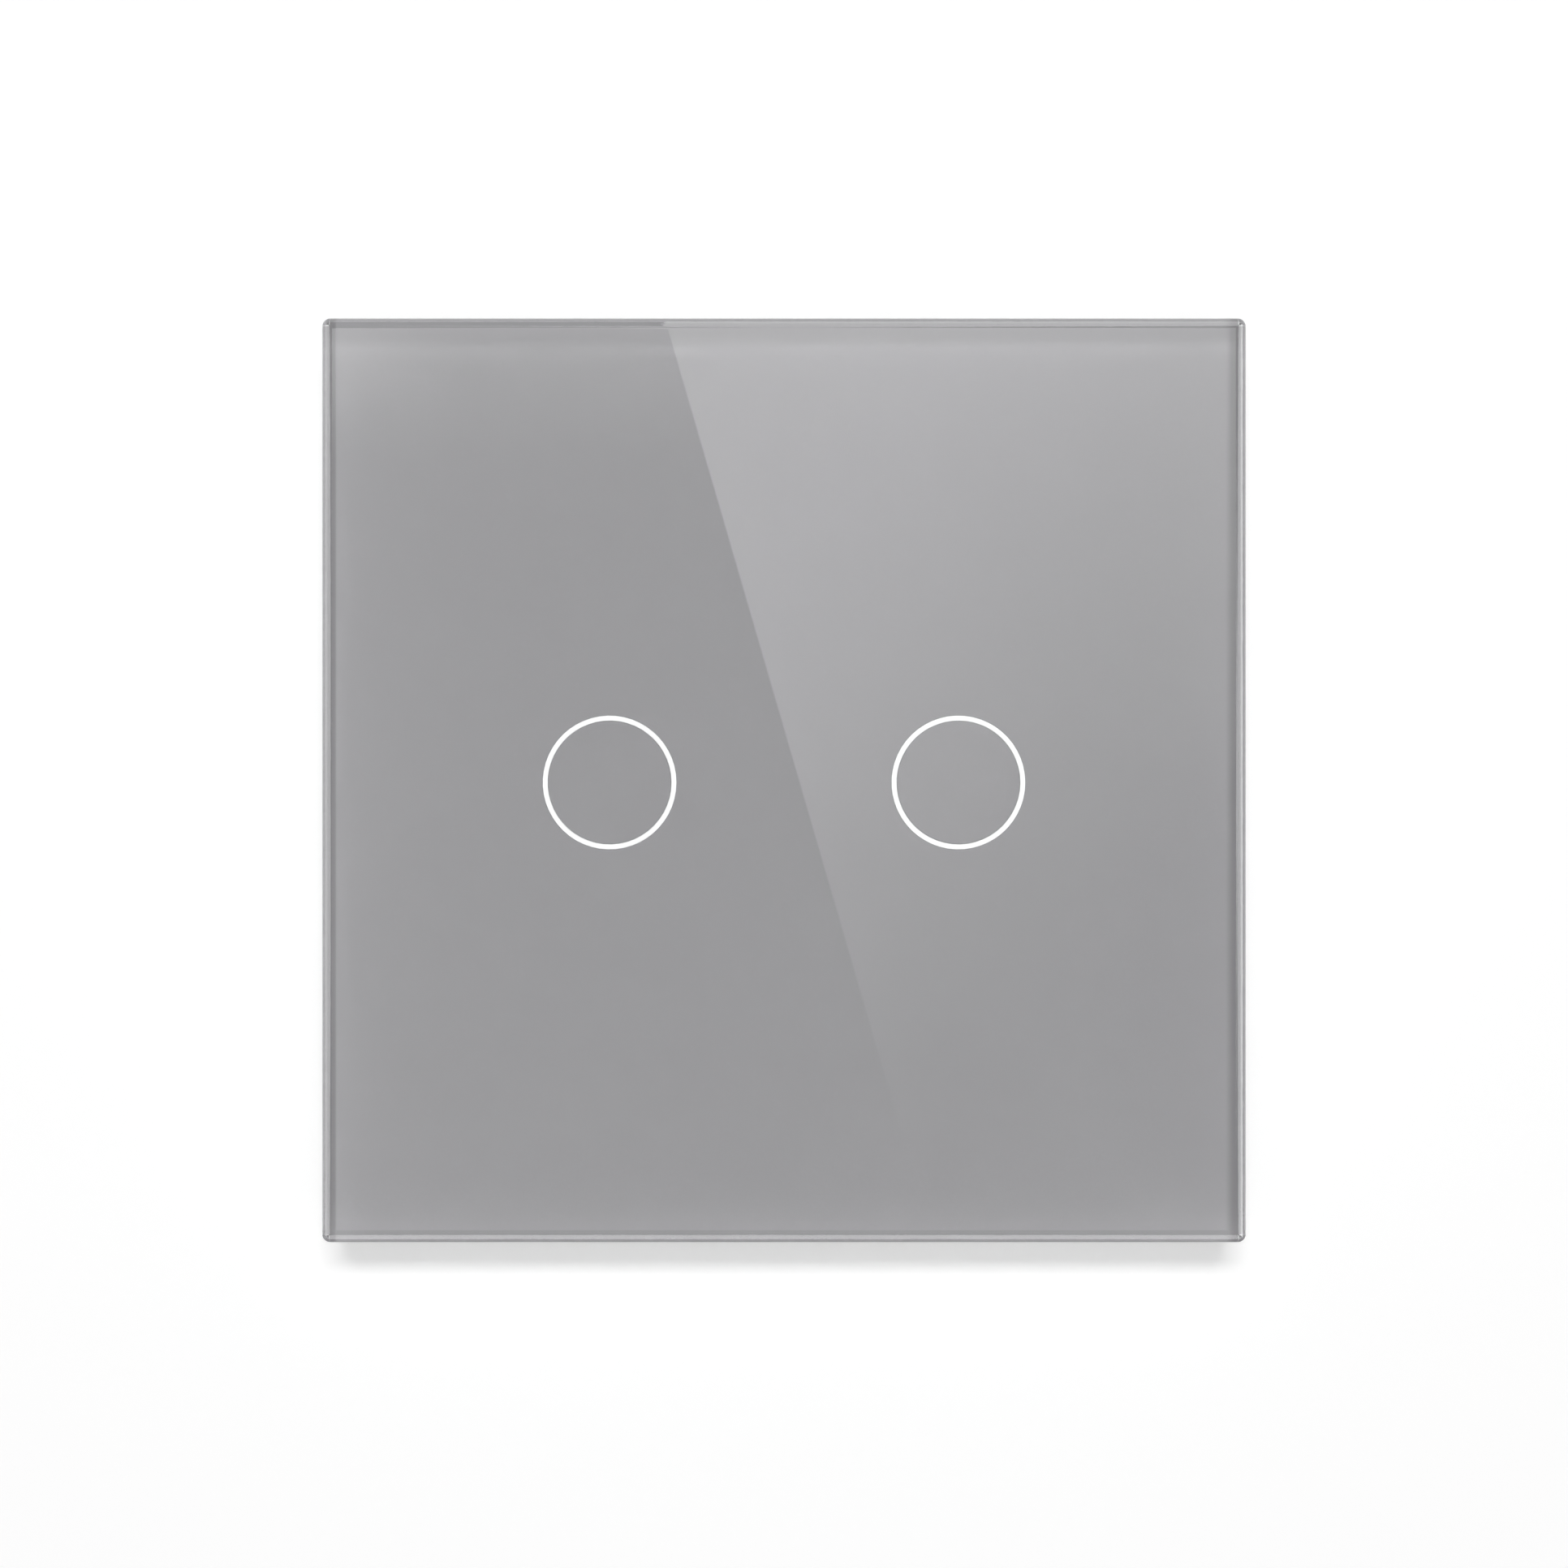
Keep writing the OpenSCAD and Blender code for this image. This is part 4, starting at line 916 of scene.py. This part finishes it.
class SWITCH_OT_stage(Operator):
    """Sets up the camera, the wall, the lamps and the cards that the glass mirrors"""
    bl_idname = "touch_switch.stage"
    bl_label = "Stage"

    def execute(self, context):
        choice = context.scene.touch_switch.stage
        self.camera(context, choice)
        self.wall(context, choice)
        self.cards(choice)
        self.lamps(choice)
        self.room(context, choice)
        context.scene.view_settings.view_transform = "Standard"
        return {"FINISHED"}

    @staticmethod
    def eye(choice):
        below_middle = 0.33 * MM
        return Vector((0, GLASS_FRONT - choice.distance, -below_middle))

    def camera(self, context, choice):
        data = bpy.data.cameras.new("photo_camera")
        data.lens = choice.lens
        data.sensor_width = 36.0
        data.clip_start = 0.01
        obj = bpy.data.objects.new("photo_camera", data)
        obj.location = self.eye(choice)
        obj.rotation_euler = (math.pi / 2, 0, 0)
        context.scene.collection.objects.link(obj)
        context.scene.camera = obj

    def wall(self, context, choice):
        mesh = bpy.data.meshes.new("wall")
        work = bmesh.new()
        hole, reach = 35 * MM, 4.0
        gap = 0.2 * MM
        for half in (hole, reach):
            bmesh.ops.create_circle(work, segments=4, radius=half * math.sqrt(2))
        bmesh.ops.bridge_loops(work, edges=list(work.edges))
        square = Matrix.Rotation(math.pi / 4, 4, "Z")
        upright = Matrix.Rotation(math.pi / 2, 4, "X")
        behind = Matrix.Translation((0, gap, 0))
        bmesh.ops.transform(work, matrix=behind @ upright @ square, verts=work.verts)
        work.normal_update()
        turned = [f for f in work.faces if f.normal.y > 0]
        bmesh.ops.reverse_faces(work, faces=turned)
        work.to_mesh(mesh)
        work.free()
        mesh.materials.append(wall_paint(choice))
        obj = bpy.data.objects.new("wall", mesh)
        obj.visible_shadow = False
        context.scene.collection.objects.link(obj)

    def cards(self, choice):
        away = 0.6
        reach = 0.17
        depth = GLASS_FRONT - away
        spread = 1 + away / choice.distance
        window = window_card(spread, self.eye(choice))
        stage_sheet("window_card", (-reach, depth, -reach), (reach, depth, reach), window)
        half = 0.6
        whole = (-half, half)
        window_edge = -0.029
        # Side, way out, span along the edge, then panels: angles from straight ahead and brightness
        hoops = (
            ("left", (-1, 0, 0), whole, ((9, 25, 0.0), (25, 89, 3.6))),
            ("right", (1, 0, 0), whole, ((9, 13, 0.0), (13, 45, 3.8), (45, 62, 4.6), (62, 89, 7.0))),
            ("top_left", (0, 0, 1), (-half, window_edge), ((9, 34, 2.2), (34, 80, 0.0), (80, 89, 2.0))),
            ("top_right", (0, 0, 1), (window_edge, half), ((9, 26, 2.4), (26, 60, 3.1), (60, 89, 3.6))),
            ("bottom", (0, 0, -1), whole, ((9, 15, 0.4), (15, 41, 0.0), (41, 89, 3.0))),
        )
        for name, outward, span, panels in hoops:
            for number, (start, end, strength) in enumerate(panels):
                label = f"{name}_panel_{number + 1}"
                hoop_sheet(label, Vector(outward), span, start, end, plain_card(label, strength))
        flag = plain_card("corner_flag", 0.0)
        flag_span = (-0.15, 0.15)
        flag_start, flag_end = 14, 80
        for across, up in ((-1, -1), (-1, 1), (1, -1), (1, 1)):
            diagonal = Vector((across, 0, up)).normalized()
            hoop_sheet("corner_flag", diagonal, flag_span, flag_start, flag_end, flag, away=0.5)
        half_floor, before_wall = 0.3, -0.3 * MM
        low, high = GLASS_LOW.z - 160 * MM, GLASS_LOW.z - 1 * MM
        stage_sheet(
            "floor_flag", (-half_floor, before_wall, low), (half_floor, before_wall, high),
            plain_card("floor_flag", 0.0))

    def lamps(self, choice):
        away = 1.2
        height = math.radians(28.0)
        fill_share = 0.4
        fill_power = choice.rear_power * fill_share
        front = (0.0, GLASS_FRONT - away * math.cos(height), away * math.sin(height))
        lamp("key_lamp", front, (0, GLASS_FRONT, 0), width=0.58, height=0.2, power=choice.key_power)
        middle = (HOUSING_LOW + HOUSING_HIGH) / 2
        lamp("rear_key", (0.4, 0.95, 0.75), middle, width=0.5, height=0.5, power=choice.rear_power)
        lamp("rear_fill", (-0.95, 0.5, 0.2), middle, width=0.6, height=0.6, power=fill_power)

    def room(self, context, choice):
        world = bpy.data.worlds.new("room")
        context.scene.world = world
        sheet = Sheet(world)
        light = sheet.blend(seen_or_mirrored(sheet), shade((choice.ambient,) * 3, 1.0), WHITE)
        sheet.surface(sheet.node("ShaderNodeBackground", None, {"Color": light}), "ShaderNodeOutputWorld")


PIECES = (
    SWITCH_OT_glass_panel, SWITCH_OT_print, SWITCH_OT_mouldings, SWITCH_OT_touch_springs, SWITCH_OT_boards,
    SWITCH_OT_power_parts, SWITCH_OT_choke, SWITCH_OT_metal, SWITCH_OT_terminal_letters, SWITCH_OT_stage,
)


class SWITCH_PT_sidebar(Panel):
    """Lists the pieces of the switch and their settings"""
    bl_idname = "SWITCH_PT_sidebar"
    bl_label = "Touch switch"
    bl_space_type = "VIEW_3D"
    bl_region_type = "UI"
    bl_category = "Touch switch"

    def draw(self, context):
        choice = context.scene.touch_switch
        for group in (choice.glass, choice.print, choice.module, choice.stage):
            box = self.layout.box()
            for name in group.__annotations__:
                box.prop(group, name)
        for piece in PIECES:
            self.layout.operator(piece.bl_idname)


CLASSES = (
    GlassSettings, PrintSettings, ModuleSettings, StageSettings, SwitchSettings, *PIECES, SWITCH_PT_sidebar,
)


def register():
    for made in CLASSES:
        bpy.utils.register_class(made)
    bpy.types.Scene.touch_switch = PointerProperty(type=SwitchSettings)


def unregister():
    del bpy.types.Scene.touch_switch
    for made in reversed(CLASSES):
        bpy.utils.unregister_class(made)


def main():
    register()
    bpy.ops.touch_switch.glass_panel()
    bpy.ops.touch_switch.print()
    bpy.ops.touch_switch.mouldings()
    bpy.ops.touch_switch.touch_springs()
    bpy.ops.touch_switch.boards()
    bpy.ops.touch_switch.power_parts()
    bpy.ops.touch_switch.choke()
    bpy.ops.touch_switch.metal()
    bpy.ops.touch_switch.terminal_letters()
    bpy.ops.touch_switch.stage()


if __name__ == "__main__":
    main()
